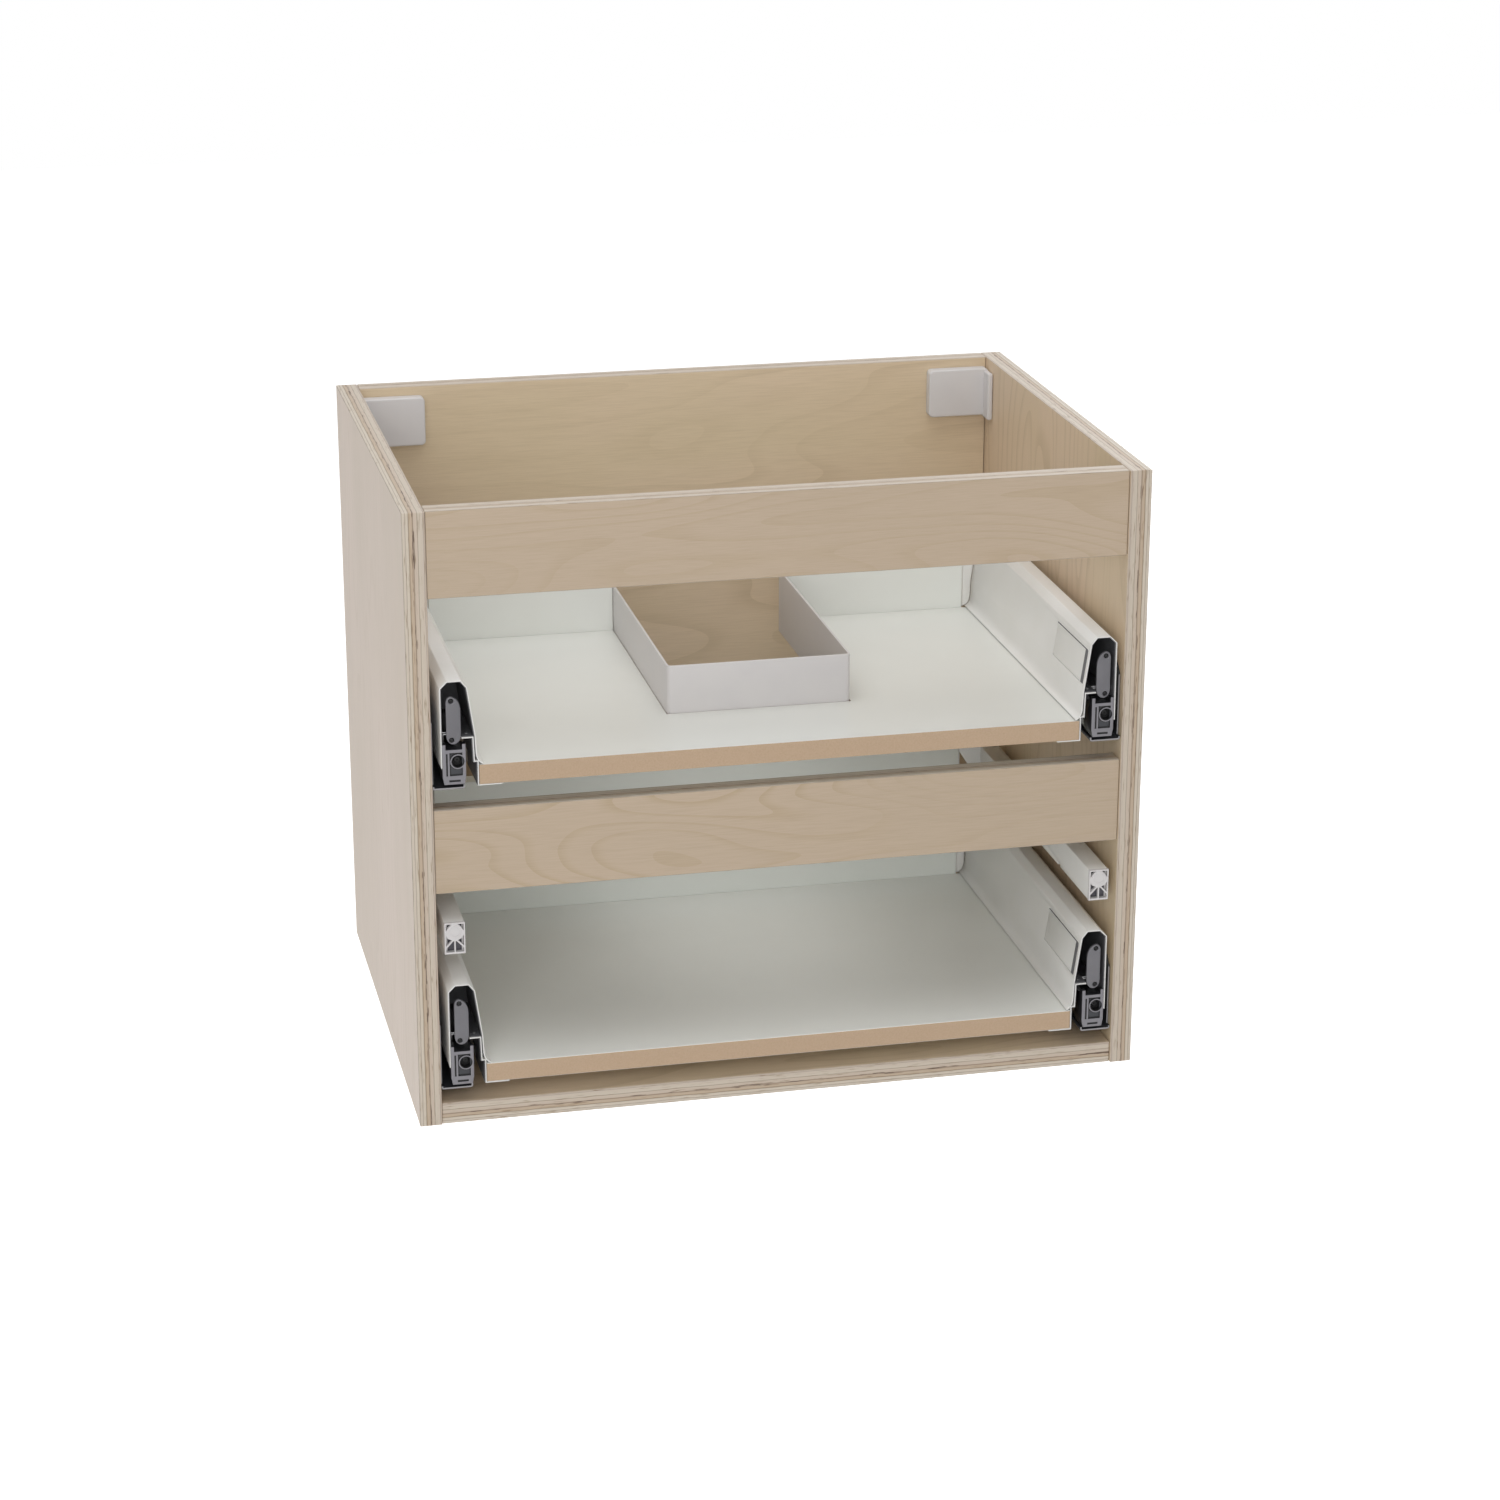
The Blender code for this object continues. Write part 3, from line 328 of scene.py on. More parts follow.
def birch_plywood(board, through, along, inner_is_high, swatches, seed, *ring_choices):
    """Lacquered plywood whose veneers are stacked along one axis, with the grain along another."""
    material, tree, shader = new_material(f"lacquered_birch_plywood_{board}")
    place = add_node(tree, "ShaderNodeTexCoord")
    parts = add_node(tree, "ShaderNodeSeparateXYZ", {0: place.outputs["Object"]}).outputs
    low, high = (corner["XYZ".index(through)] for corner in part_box(board))
    inner, outer = (high, low) if inner_is_high else (low, high)
    fields = veneer_patterns(tree, place, along, seed)
    face = veneer_colour(tree, fields, swatches, *ring_choices)
    edge = ply_colour(tree, place, parts, through, inner, outer, seed)
    upright = add_node(
        tree, "ShaderNodeVectorMath", {0: place.outputs["Normal"]}, operation="ABSOLUTE"
    )
    facing = add_node(tree, "ShaderNodeSeparateXYZ", {0: upright}).outputs[through]
    is_face = add_node(
        tree, "ShaderNodeMath", {0: facing, 1: face_cosine}, operation="GREATER_THAN"
    )
    colour = add_node(tree, "ShaderNodeMix", {0: is_face, 6: edge, 7: face}, data_type="RGBA")
    smooth, rough = lacquer_roughness
    roughness = add_node(
        tree, "ShaderNodeMapRange", {"Value": fields["fibre"], "To Min": smooth, "To Max": rough}
    )
    relief = add_node(
        tree, "ShaderNodeBump",
        {"Strength": fibre_strength, "Distance": fibre_height, "Height": fields["fibre"]},
    )
    feed(tree, shader, {"Base Color": colour, "Roughness": roughness, "Normal": relief})
    return material


def dress(node, material):
    """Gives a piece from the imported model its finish, without touching its mesh."""
    nodes[node].data.materials.clear()
    nodes[node].data.materials.append(material)


for board, choices in BOARDS.items():
    dress(board, birch_plywood(board, *choices))
print("plywood on", len(BOARDS), "boards")

# %% [markdown]
# ## Melamine-faced drawer boards
# The drawer boards and backs are chipboard under a hard white paper, pressed on with melamine
# resin. Only their faces are white, with a faint green cast and a soft gloss; a sawn edge shows the
# warm brown of the core, close and dry. Two materials would need the mesh cut up, so again the
# surface normal chooses between the two.

# %% Melamine board
chip_size = 1.4 * mm
cloud_size = 60 * mm
face_share = 0.6
white_places = (0.30, 0.70)
CORE_STOPS = ((0.30, "B49B80"), (0.60, "BBA288"))
core_roughness = 0.75
melamine_roughness = 0.34
chip_height = 0.03 * mm
chip_strength = 0.10


def melamine_board(name, face_axes, swatches):
    """White faces across some axes, and the sawn brown core on the others."""
    material, tree, shader = new_material(name)
    place = add_node(tree, "ShaderNodeTexCoord")
    flat = tuple(1.0 if axis in face_axes else 0.0 for axis in "XYZ")
    upright = add_node(
        tree, "ShaderNodeVectorMath", {0: place.outputs["Normal"], 1: flat}, operation="MULTIPLY"
    )
    length = add_node(tree, "ShaderNodeVectorMath", {0: upright}, operation="LENGTH")
    is_face = add_node(
        tree, "ShaderNodeMath", {0: length.outputs["Value"], 1: face_share}, operation="GREATER_THAN"
    )
    cloud = add_node(
        tree, "ShaderNodeTexNoise",
        {"Vector": place.outputs["Object"], "Scale": 1 / cloud_size, "Detail": 3.0},
    )
    white = add_node(
        tree, "ShaderNodeValToRGB", {0: cloud}, stops=zip(white_places, swatches)
    )
    chips = add_node(
        tree, "ShaderNodeTexNoise",
        {"Vector": place.outputs["Object"], "Scale": 1 / chip_size, "Detail": 4.0},
    )
    core = add_node(tree, "ShaderNodeValToRGB", {0: chips}, stops=CORE_STOPS)
    colour = add_node(tree, "ShaderNodeMix", {0: is_face, 6: core, 7: white}, data_type="RGBA")
    roughness = add_node(
        tree, "ShaderNodeMapRange",
        {"Value": is_face, "To Min": core_roughness, "To Max": melamine_roughness},
    )
    relief = add_node(
        tree, "ShaderNodeBump",
        {"Strength": chip_strength, "Distance": chip_height, "Height": chips},
    )
    feed(tree, shader, {"Base Color": colour, "Roughness": roughness, "Normal": relief})
    return material


# The same white paper is on every board and back. The upper board has a greyer white, painted shade
# under the strong light through the open top, and the lower board and back a brighter one, painted light
# in the shade of the upper drawer.
MELAMINE_OF_NODE = {
    "upper_drawer_board": ("Z", ("DFE0DB", "E1E2DD")),
    "lower_drawer_board": ("Z", ("EEEFEA", "F0F1EC")),
    "upper_drawer_back_left": ("YZ", ("E6E8E3", "E8EAE6")),
    "upper_drawer_back_right": ("YZ", ("E6E8E3", "E8EAE6")),
    "lower_drawer_back": ("YZ", ("E7EBE5", "EAEDE8")),
}
for node, (face_axes, swatches) in MELAMINE_OF_NODE.items():
    dress(node, melamine_board(f"melamine_faced_{node}", face_axes, swatches))
print("melamine on", len(MELAMINE_OF_NODE), "boards and backs")

# %% [markdown]
# ## Coats, castings and mouldings
# A powder coat, a painted casting and a moulded plastic differ in few things: the tone of their
# skin, how sharply they mirror, and the size and height of their grain. Each could have a material
# built from nothing, but then the same nodes would be written ten times. So one function holds what
# they share, and the numbers, with what the eye makes of them, stand with each material below.

# %% What coats and mouldings share
skin_cloud = 30 * mm
cloud_places = (0.32, 0.68)
roughness_spread = 0.04
relief_strength = 0.3


def coated(name, swatches, dullness, metallic, grain, grain_height, cut_end=None):
    """A skin of one tone with slight clouds, a real grain, and maybe bare ends that face the front."""
    material, tree, shader = new_material(name)
    place = add_node(tree, "ShaderNodeTexCoord")
    cloud = add_node(
        tree, "ShaderNodeTexNoise",
        {"Vector": place.outputs["Object"], "Scale": 1 / skin_cloud, "Detail": 3.0},
    )
    colour = add_node(
        tree, "ShaderNodeValToRGB", {0: cloud}, stops=zip(cloud_places, swatches)
    )
    # Faces that point forwards take the cut_end tone: bare steel on the runners; on the fixing blocks
    # the near-black base of all other faces is painted shade
    if cut_end:
        facing = add_node(tree, "ShaderNodeSeparateXYZ", {0: place.outputs["Normal"]}).outputs["Y"]
        faces_forward = add_node(
            tree, "ShaderNodeMath", {0: facing, 1: -face_cosine}, operation="LESS_THAN"
        )
        colour = add_node(
            tree, "ShaderNodeMix", {0: faces_forward, 6: colour, 7: linear(cut_end)}, data_type="RGBA"
        )
    roughness = add_node(
        tree, "ShaderNodeMapRange",
        {"Value": cloud, "To Min": dullness - roughness_spread, "To Max": dullness + roughness_spread},
    )
    skin = add_node(
        tree, "ShaderNodeTexNoise",
        {"Vector": place.outputs["Object"], "Scale": 1 / grain, "Detail": 2.0},
    )
    relief = add_node(
        tree, "ShaderNodeBump",
        {"Strength": relief_strength, "Distance": grain_height, "Height": skin},
    )
    feed(
        tree, shader,
        {"Base Color": colour, "Roughness": roughness, "Metallic": metallic, "Normal": relief},
    )
    return material


print("skins with clouds of", round(skin_cloud / mm), "mm")

# %% [markdown]
# ## Coated and plated metal
# The folded drawer sides, the castings and the runners are steel and zinc under a coat. Only the
# screws, the hangers and the runners' middle members are plated and bright. Metallic at 1 would make
# a coat look like polished metal, so the coats keep it low, and a little of it in the castings
# stands for flakes in the paint. A part that is cut or ground after coating is paler there.

# %% Finishes of the metal parts
# Folded steel, powder coated: silky, with a faint orange peel that only shows in a reflection
powder_coat = coated("powder_coated_steel", ("E2E1DD", "E5E4E1"), 0.30, 0.0, 1.6 * mm, 0.02 * mm)
# Die-cast zinc under a grey coat: rounded, matt and a little mottled
grey_casting = coated("coated_zinc_casting", ("636266", "6E6D71"), 0.42, 0.2, 0.9 * mm, 0.05 * mm)
# A casting whose faces that point forwards are pale as if ground bare, and all others near black:
# the black is painted shade in its slots and on its sides, so that its frame stands out
block_casting = coated(
    "zinc_casting_with_painted_shade", ("29292C", "323235"), 0.40, 0.2, 0.9 * mm, 0.05 * mm, "7C7A7F"
)
# A nearly black coat for the plates of painted shade in the sunk fields of the fixing blocks: it
# mirrors light on its rounded edges
field_shade_steel = coated("dark_coated_steel", ("2B2C31", "35363B"), 0.34, 0.2, 1.2 * mm, 0.02 * mm)
# The same coat on a rolled strip that was sheared to length afterwards: its cut ends show bare steel
runner_strip = coated(
    "dark_coated_steel_strip", ("2E2F33", "38393D"), 0.34, 0.2, 1.2 * mm, 0.02 * mm, "918F91"
)
# Blacker still, for painted shade: the bars, cups and rings deep in the fixing blocks and the set
# screws in their holes, where hardly any light comes back from
depth_shade_black = coated("painted_depth_shade_black", ("0C0C0D", "131314"), 0.60, 0.0, 0.8 * mm, 0.03 * mm)
# Zinc-plated strip: a bright metal with a soft cloudy shine
zinc_strip = coated("zinc_plated_steel_strip", ("B4B4B6", "C6C6C8"), 0.32, 1.0, 3.0 * mm, 0.02 * mm)
metals = (powder_coat, grey_casting, block_casting, field_shade_steel, runner_strip, depth_shade_black, zinc_strip)
print("metal parts:", ", ".join(material.name for material in metals))

# %% [markdown]
# ## Moulded plastic
# Covers, caps and linings are injection moulded. Plastic takes the texture of its mould, which a
# tool maker erodes with sparks, so it is dull in an even way and has no clouds worth seeing. A
# glossy white would show sharp reflections that the real covers don't have.

# %% Finishes of the plastic parts
# Moulded white plastic: even and dull, as it comes from a fine eroded tool
white_moulding = coated("moulded_white_plastic", ("CFCCCC", "D2CFCE"), 0.42, 0.0, 0.7 * mm, 0.02 * mm)
# A finer moulding in the tone of the coated steel, so that only its joints tell it from the skin
cover_moulding = coated("moulded_cover_plastic", ("E0DFDB", "E3E2DE"), 0.38, 0.0, 0.7 * mm, 0.02 * mm)
# Dull grey for the plates behind the pockets of the gallery caps: far darker than the white, it is
# painted shade that reads as a deep shadow
pocket_shade_grey = coated("painted_pocket_shade_grey", ("4A484E", "525056"), 0.50, 0.0, 0.7 * mm, 0.02 * mm)
# Black plastic filled with glass fibre, which greys its skin, for the linings and for the painted
# shade round the cover caps: it only turns black deep in a profile
black_lining_and_shade = coated("black_lining_and_painted_shade", ("58585B", "666669"), 0.50, 0.0, 0.6 * mm, 0.03 * mm)
plastics = (white_moulding, cover_moulding, pocket_shade_grey, black_lining_and_shade)
print("plastic parts:", ", ".join(material.name for material in plastics))

# %% [markdown]
# ## Which piece gets which finish
# Every imported piece names a slot, which is the kind of stuff it is made of. Most finishes follow
# from it. A list of all pieces would say the same at greater length, so only two exceptions are
# written down: the cover caps, which are plastic in the tone of steel, and the fixing blocks, whose
# casting carries painted shade on every face but its front.

# %% Finish of each piece
FINISH_OF_SLOT = {
    "white_steel": powder_coat, "grey_zinc": grey_casting, "dark_steel": runner_strip,
    "bright_steel": zinc_strip, "white_plastic": white_moulding,
}
FINISH_OF_PIECE = {}
for entry in frame["record"]["subparts"]:
    node, slot = entry["node"], entry["material_slot"]
    if slot in FINISH_OF_SLOT:
        FINISH_OF_PIECE[node] = FINISH_OF_SLOT[slot]
    if "cover_cap" in node:
        FINISH_OF_PIECE[node] = cover_moulding
    if "fixing_block" in node:
        FINISH_OF_PIECE[node] = block_casting
print(len(FINISH_OF_SLOT), "finishes for metal and plastic on", len(FINISH_OF_PIECE), "pieces")

# %% [markdown]
# ## Putting a piece on the cabinet
# Every new piece rides on one of the cabinet's bodies, so that it moves with its drawer. A piece
# that is finer than a packed one takes its place. Its size could be typed in again, but it is read
# from the imported piece, so that the two always agree.

# %% Placing a piece
body_of = {
    node: body for body, members in frame["record"]["behaviour"]["bodies"].items() for node in members
}
slot_of = {entry["node"]: entry["material_slot"] for entry in frame["record"]["subparts"]}
smooth_angle = math.radians(35)


def place_piece(name, mesh, body, material, slot, *replaced):
    """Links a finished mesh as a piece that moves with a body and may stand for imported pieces."""
    mesh.shade_smooth()
    mesh.set_sharp_from_angle(angle=smooth_angle)
    mesh.materials.clear()
    mesh.materials.append(material)
    piece = bpy.data.objects.new(name, mesh)
    bpy.context.scene.collection.objects.link(piece)
    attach(piece, body)
    if replaced:
        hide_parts(*replaced)


def take_place(node, mesh):
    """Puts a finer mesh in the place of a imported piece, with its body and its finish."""
    finish = FINISH_OF_PIECE[node]
    place_piece(f"finished_{node}", mesh, body_of[node], finish, slot_of[node], node)


def drawer_piece(drawer, name, mesh, material):
    """Places a new dark piece that rides on one drawer."""
    place_piece(f"{drawer}_{name}", mesh, f"{drawer}_drawer", material, "dark_steel")


def box_of(node, side):
    """Both corners of a piece on the left or right side, and the X of its outer and inner face."""
    low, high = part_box(node)
    outer, inner = (low.x, high.x) if side < 0 else (high.x, low.x)
    return low, high, outer, inner


# %% [markdown]
# ## Making a mesh
# A bmesh is a mesh in the making, where vertices, edges and faces can be added and bevelled without
# edit mode. Modifiers do some steps better, such as an even wall or a bevel by angle, so one helper
# hangs them on a short-lived object and keeps only the mesh that comes out.

# %% Making a mesh
def mesh_from(bm, name):
    """A plain mesh of what a bmesh holds, with its faces turned outwards."""
    bmesh.ops.recalc_face_normals(bm, faces=bm.faces)
    mesh = bpy.data.meshes.new(name)
    bm.to_mesh(mesh)
    bm.free()
    return mesh


def baked(source, modifiers):
    """The mesh that an object of this mesh has after some modifiers, each a kind and its settings."""
    helper = bpy.data.objects.new("helper", source)
    bpy.context.scene.collection.objects.link(helper)
    for kind, settings in modifiers:
        modifier = helper.modifiers.new(kind.lower(), kind)
        for key, value in settings.items():
            setattr(modifier, key, value)
    evaluated = helper.evaluated_get(bpy.context.evaluated_depsgraph_get())
    mesh = bpy.data.meshes.new_from_object(evaluated)
    bpy.data.objects.remove(helper)
    return mesh


def add_block(bm, low, high):
    """Adds a plain box between two corners to a mesh in the making."""
    verts = bmesh.ops.create_cube(bm, size=1.0)["verts"]
    bmesh.ops.scale(bm, vec=high - low, verts=verts)
    bmesh.ops.translate(bm, vec=(low + high) / 2, verts=verts)


trial = bmesh.new()
add_block(trial, *cad_box)
print("a block round the cabinet holds", round(trial.calc_volume() * 1000), "litres")
trial.free()

# %% [markdown]
# ## Rounded edges on the bought-in fittings
# No real edge is a mathematical corner: sheared steel has a small burr radius, a casting has a
# larger one, and a bend is a smooth roll. Those radii catch the thin lines of light by which the
# eye tells one sheet from the next. Rounding them by hand would take a day, while a Bevel modifier
# finds by its angle each edge that is sharper than a bend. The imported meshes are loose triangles,
# so a copy is merged and its flat faces are made whole first.

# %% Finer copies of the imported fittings
weld_gap = 0.01 * mm
flat_angle = math.radians(0.5)
bend_angle = math.radians(34)
bevel_segments = 2
EDGE_RADIUS_OF_SLOT = {
    "white_steel": 0.12 * mm, "grey_zinc": 0.35 * mm, "dark_steel": 0.30 * mm,
    "bright_steel": 0.25 * mm, "white_plastic": 0.30 * mm,
}


def merged(node):
    """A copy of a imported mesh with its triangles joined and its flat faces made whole."""
    bm = bmesh.new()
    bm.from_mesh(nodes[node].data)
    bmesh.ops.remove_doubles(bm, verts=bm.verts, dist=weld_gap)
    bmesh.ops.dissolve_limit(bm, angle_limit=flat_angle, verts=bm.verts, edges=bm.edges)
    mesh = bpy.data.meshes.new(node)
    bm.to_mesh(mesh)
    bm.free()
    return mesh


def refine(node):
    """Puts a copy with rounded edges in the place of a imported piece."""
    rounding = dict(
        width=EDGE_RADIUS_OF_SLOT[slot_of[node]], segments=bevel_segments, limit_method="ANGLE",
        angle_limit=bend_angle,
    )
    mesh = baked(merged(node), [("BEVEL", rounding)])
    take_place(node, mesh)
    return len(mesh.polygons)


OWN_PIECES = ("front_link_plate", "gallery_end_cap", "hanger_cover", "side_chassis")
faces = [
    refine(node) for node, slot in slot_of.items()
    if slot in FINISH_OF_SLOT and not any(own in node for own in OWN_PIECES)
]
print(len(faces), "fittings refined,", sum(faces), "faces")

# %% [markdown]
# ## Hanger covers
# A cover is a shallow moulded box over the hanger in each rear top corner. Its corners are rounded
# so that it leaves the mould, and a raised rib stands beside the side panel. It could be drawn as a
# curve and filled, but a box whose edges are rounded in two steps shows the order of such corners:
# first the wide ones that point forwards, then the fine one round the front.

# %% Cover over each hanger
cover_corner = 4.0 * mm
cover_edge = 1.2 * mm
cover_wall = 1.5 * mm
rib_corner = 1.5 * mm
cover_rib_width = 4.7 * mm
cover_rib_depth = 13.5 * mm
cover_rib_drop = 2.0 * mm
corner_segments = 8
edge_segments = 4


def rounded_box(low, high, corner, edge):
    """A box with round corners along Y and a finely rounded front."""
    bm = bmesh.new()
    add_block(bm, low, high)
    along_y = [e for e in bm.edges if abs(e.verts[0].co.y - e.verts[1].co.y) > corner]
    bmesh.ops.bevel(
        bm, geom=along_y, offset=corner, segments=corner_segments, profile=0.5, affect="EDGES"
    )
    rim = [
        e for e in bm.edges
        if max(v.co.y for v in e.verts) < low.y + weld_gap and e.calc_face_angle() > bend_angle
    ]
    bmesh.ops.bevel(bm, geom=rim, offset=edge, segments=edge_segments, profile=0.5, affect="EDGES")
    return bm


def hanger_cover(word, side):
    """The cover of one hanger: a rounded shell without a back, and its rib."""
    node = f"hanger_cover_{word}"
    low, high, outer, _ = box_of(node, side)
    low.y += cover_rib_depth
    low.z += cover_rib_drop
    shell = rounded_box(low, high, cover_corner, cover_edge)
    behind = [f for f in shell.faces if f.calc_center_median().y > high.y - weld_gap]
    bmesh.ops.delete(shell, geom=behind, context="FACES")
    mesh = baked(mesh_from(shell, node), [("SOLIDIFY", dict(thickness=cover_wall, offset=-1.0))])
    low.y -= cover_rib_depth
    low.z -= cover_rib_drop
    high.z -= cover_rib_drop
    low.x, high.x = sorted((outer, outer - side * cover_rib_width))
    rib = rounded_box(low, high, rib_corner, cover_edge)
    rib.from_mesh(mesh)
    take_place(node, mesh_from(rib, node))


for word, side in SIDES:
    hanger_cover(word, side)
print("hanger covers with corners of", cover_corner / mm, "mm")

# %% [markdown]
# ## Flat castings
# Several small fittings are flat plates with holes, cast or moulded with a rounded rim that shows
# as a lighter line. A box with holes cut out by booleans would need its edges rounded afterwards.
# Closed curves do it in one go: automatic handles turn a few points into a soft outline, an inner
# curve is a hole, and the curve's own bevel rounds every rim.

# %% Flat castings
rim_segments = 4
outline_steps = 6
hole_steps = 20


def add_loop(curve, points, handle):
    """A closed loop of flat points in a curve: AUTO handles make it smooth, VECTOR ones straight."""
    spline = curve.splines.new("BEZIER")
    spline.bezier_points.add(len(points) - 1)
    for point, (x, y) in zip(spline.bezier_points, points):
        point.co = (x, y, 0.0)
        point.handle_left_type = point.handle_right_type = handle
    spline.use_cyclic_u = True
    spline.resolution_u = outline_steps if handle == "AUTO" else 1


def circle(x, z, radius):
    """Points round a circle."""
    turns = [2 * math.pi * k / hole_steps for k in range(hole_steps)]
    return [(x + radius * math.cos(turn), z + radius * math.sin(turn)) for turn in turns]


def flat_casting(name, loops, thickness, rim, handle="AUTO"):
    """A plate between closed loops, with a rounded rim, drawn in X and Z and thick along Y."""
    curve = bpy.data.curves.new(name, "CURVE")
    curve.dimensions = "2D"
    curve.fill_mode = "BOTH"
    curve.bevel_depth = rim
    curve.bevel_resolution = rim_segments
    curve.extrude = thickness / 2 - rim
    curve.offset = -rim
    for loop in loops:
        add_loop(curve, loop, handle)
    bm = bmesh.new()
    bm.from_mesh(baked(curve, []))
    bmesh.ops.remove_doubles(bm, verts=bm.verts, dist=weld_gap)
    bmesh.ops.rotate(bm, matrix=Matrix.Rotation(math.pi / 2, 3, "X"), verts=bm.verts)
    return bm


print("castings with rims of", rim_segments, "segments")

# %% [markdown]
# ## Link plates
# The narrow grey plate above each fixing block takes the drawer front. Its outline is soft and
# leans to one side, and its two holes are sunk for screws. The outline is written in shares of the
# packed plate's width and height, so that the plate keeps its size whatever its shape.

# %% Link plates
plate_rim = 0.7 * mm
plate_hole_radius = 2.0 * mm
plate_hole_from_edge = 4.1 * mm
plate_hole_pitch = 32.0 * mm
mark_size = Vector((0.5, 0.3, 1.8)) * mm
mark_from_hole = Vector((2.6, 0.0, 3.6)) * mm
plate_outline_shares = (
    (0.0, 0.16), (0.0, 0.30), (0.0, 0.55), (0.0, 0.80), (0.01, 0.90), (0.12, 0.97), (0.33, 1.0),
    (0.56, 0.975), (0.79, 0.915), (0.94, 0.825), (1.0, 0.72), (1.0, 0.58), (1.0, 0.38), (1.0, 0.22),
    (0.93, 0.10), (0.75, 0.03), (0.50, 0.0), (0.25, 0.02), (0.07, 0.08),
)


def link_plate(drawer, word, side):
    """One plate with two sunk holes, and a short raised mark beside each."""
    node = f"{drawer}_front_link_plate_{word}"
    low, high, outer, _ = box_of(node, side)
    size = high - low
    centre = (low + high) / 2
    outline = [(outer - side * u * size.x, low.z + v * size.z) for u, v in plate_outline_shares]
    hole_x = outer - side * plate_hole_from_edge
    holes = [
        circle(hole_x, centre.z + end * plate_hole_pitch / 2, plate_hole_radius) for end in (-1, 1)
    ]
    bm = flat_casting(node, [outline, *holes], size.y, plate_rim)
    bmesh.ops.translate(bm, vec=(0.0, centre.y, 0.0), verts=bm.verts)
    for end in (-1, 1):
        mark = Vector((
            hole_x - side * mark_from_hole.x, low.y,
            centre.z + end * (plate_hole_pitch / 2 - mark_from_hole.z),
        ))
        add_block(bm, mark - mark_size / 2, mark + mark_size / 2)
    take_place(node, mesh_from(bm, node))


for fitting in FITTINGS:
    link_plate(*fitting)
print("link plates with holes", plate_hole_pitch / mm, "mm apart")

# %% [markdown]
# ## Turned parts
# Bosses, cups and rings are round about an axis that points forwards. A cylinder with insets would
# take a step for each shoulder, while a profile spun round its axis has them all from the start.

# %% Turned parts
turned_steps = 40


def add_turned(bm, centre, profile):
    """Spins a profile of (radius, depth) points, closed or from axis to axis, round Y."""
    verts = [bm.verts.new(centre + Vector((radius, depth, 0.0))) for radius, depth in profile]
    edges = [bm.edges.new(pair) for pair in zip(verts, verts[1:])]
    bmesh.ops.spin(
        bm, geom=verts + edges, cent=centre, axis=(0.0, 1.0, 0.0), angle=2 * math.pi,
        steps=turned_steps, use_merge=True,
    )
    bmesh.ops.remove_doubles(bm, verts=bm.verts, dist=weld_gap)


print("turned parts in", turned_steps, "steps")

# %% [markdown]
# ## Gallery end caps
# A moulded cap closes the front of each gallery tube. It is a thin frame with a round boss, and
# ribs that run from the boss to its corners and leave pockets between them, because thick plastic
# would sink as it cools. The pockets could be cut into a block, but the cap is really a frame: so it
# is a flat casting with the pockets as holes, over a grey plate that lies deeper and paints the shade
# in the pockets.

# %% Gallery end caps
cap_frame_depth = 3.2 * mm
cap_rim = 0.2 * mm
shade_plate_depth = 4.5 * mm
shade_plate_thickness = 1.0 * mm
cap_sleeve_gap = 1.5 * mm
cap_sleeve_wall = 1.0 * mm
boss_drop = 7.2 * mm
boss_radius = 5.5 * mm
boss_rise = 0.4 * mm
# Radius and height shares of the boss, all round it: its root, a rim, a groove and a flat face
boss_profile_shares = (
    (0.0, -3.0), (1.0, -3.0), (1.0, 0.6), (0.96, 1.0), (0.78, 1.0), (0.76, -2.0), (0.62, -2.0),
    (0.60, 0.4), (0.0, 0.4),
)
cap_corner_shares = ((0.0, 0.0), (1.0, 0.0), (1.0, 1.0), (0.0, 1.0))
pocket_shares = (
    ((0.07, 0.955), (0.36, 0.955), (0.22, 0.88), (0.07, 0.74)),
    ((0.93, 0.955), (0.64, 0.955), (0.78, 0.88), (0.93, 0.74)),
    ((0.07, 0.60), (0.15, 0.50), (0.36, 0.44), (0.07, 0.25)),
    ((0.93, 0.60), (0.85, 0.50), (0.64, 0.44), (0.93, 0.25)),
    ((0.07, 0.055), (0.465, 0.055), (0.465, 0.41), (0.42, 0.41), (0.07, 0.175)),
    ((0.535, 0.055), (0.93, 0.055), (0.93, 0.175), (0.58, 0.41), (0.535, 0.41)),
)


def gallery_end_cap(word):
    """The cap of one gallery tube: frame, sleeve and boss, and the grey plate of painted shade behind
    its pockets.
    """
    node = f"gallery_end_cap_{word}"
    low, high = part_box(node)
    size = high - low
    loops = [
        [(low.x + u * size.x, low.z + v * size.z) for u, v in loop]
        for loop in (cap_corner_shares, *pocket_shares)
    ]
    bm = flat_casting(node, loops, cap_frame_depth, cap_rim, "VECTOR")
    bmesh.ops.translate(bm, vec=(0.0, low.y + cap_frame_depth / 2, 0.0), verts=bm.verts)
    behind = low.y + cap_frame_depth
    gap = Vector((cap_sleeve_gap, 0.0, cap_sleeve_gap))
    inner_low, inner_high = low + gap, high - gap
    for left in (inner_low.x, inner_high.x - cap_sleeve_wall):
        add_block(
            bm, Vector((left, behind, inner_low.z)),
            Vector((left + cap_sleeve_wall, high.y, inner_high.z)),
        )
    boss = Vector(((low.x + high.x) / 2, low.y, high.z - boss_drop))
    add_turned(bm, boss, [(boss_radius * u, -boss_rise * v) for u, v in boss_profile_shares])
    take_place(node, mesh_from(bm, node))
    bm = bmesh.new()
    shade_plate_start = low.y + shade_plate_depth
    add_block(
        bm, Vector((inner_low.x, shade_plate_start, inner_low.z)),
        Vector((inner_high.x, shade_plate_start + shade_plate_thickness, inner_high.z)),
    )
    place_piece(
        f"gallery_pocket_shade_{word}", mesh_from(bm, "shade_plate_start"), body_of[node], pocket_shade_grey, "white_plastic"
    )


for word, _ in SIDES:
    gallery_end_cap(word)
print("end caps with", len(pocket_shares), "pockets")

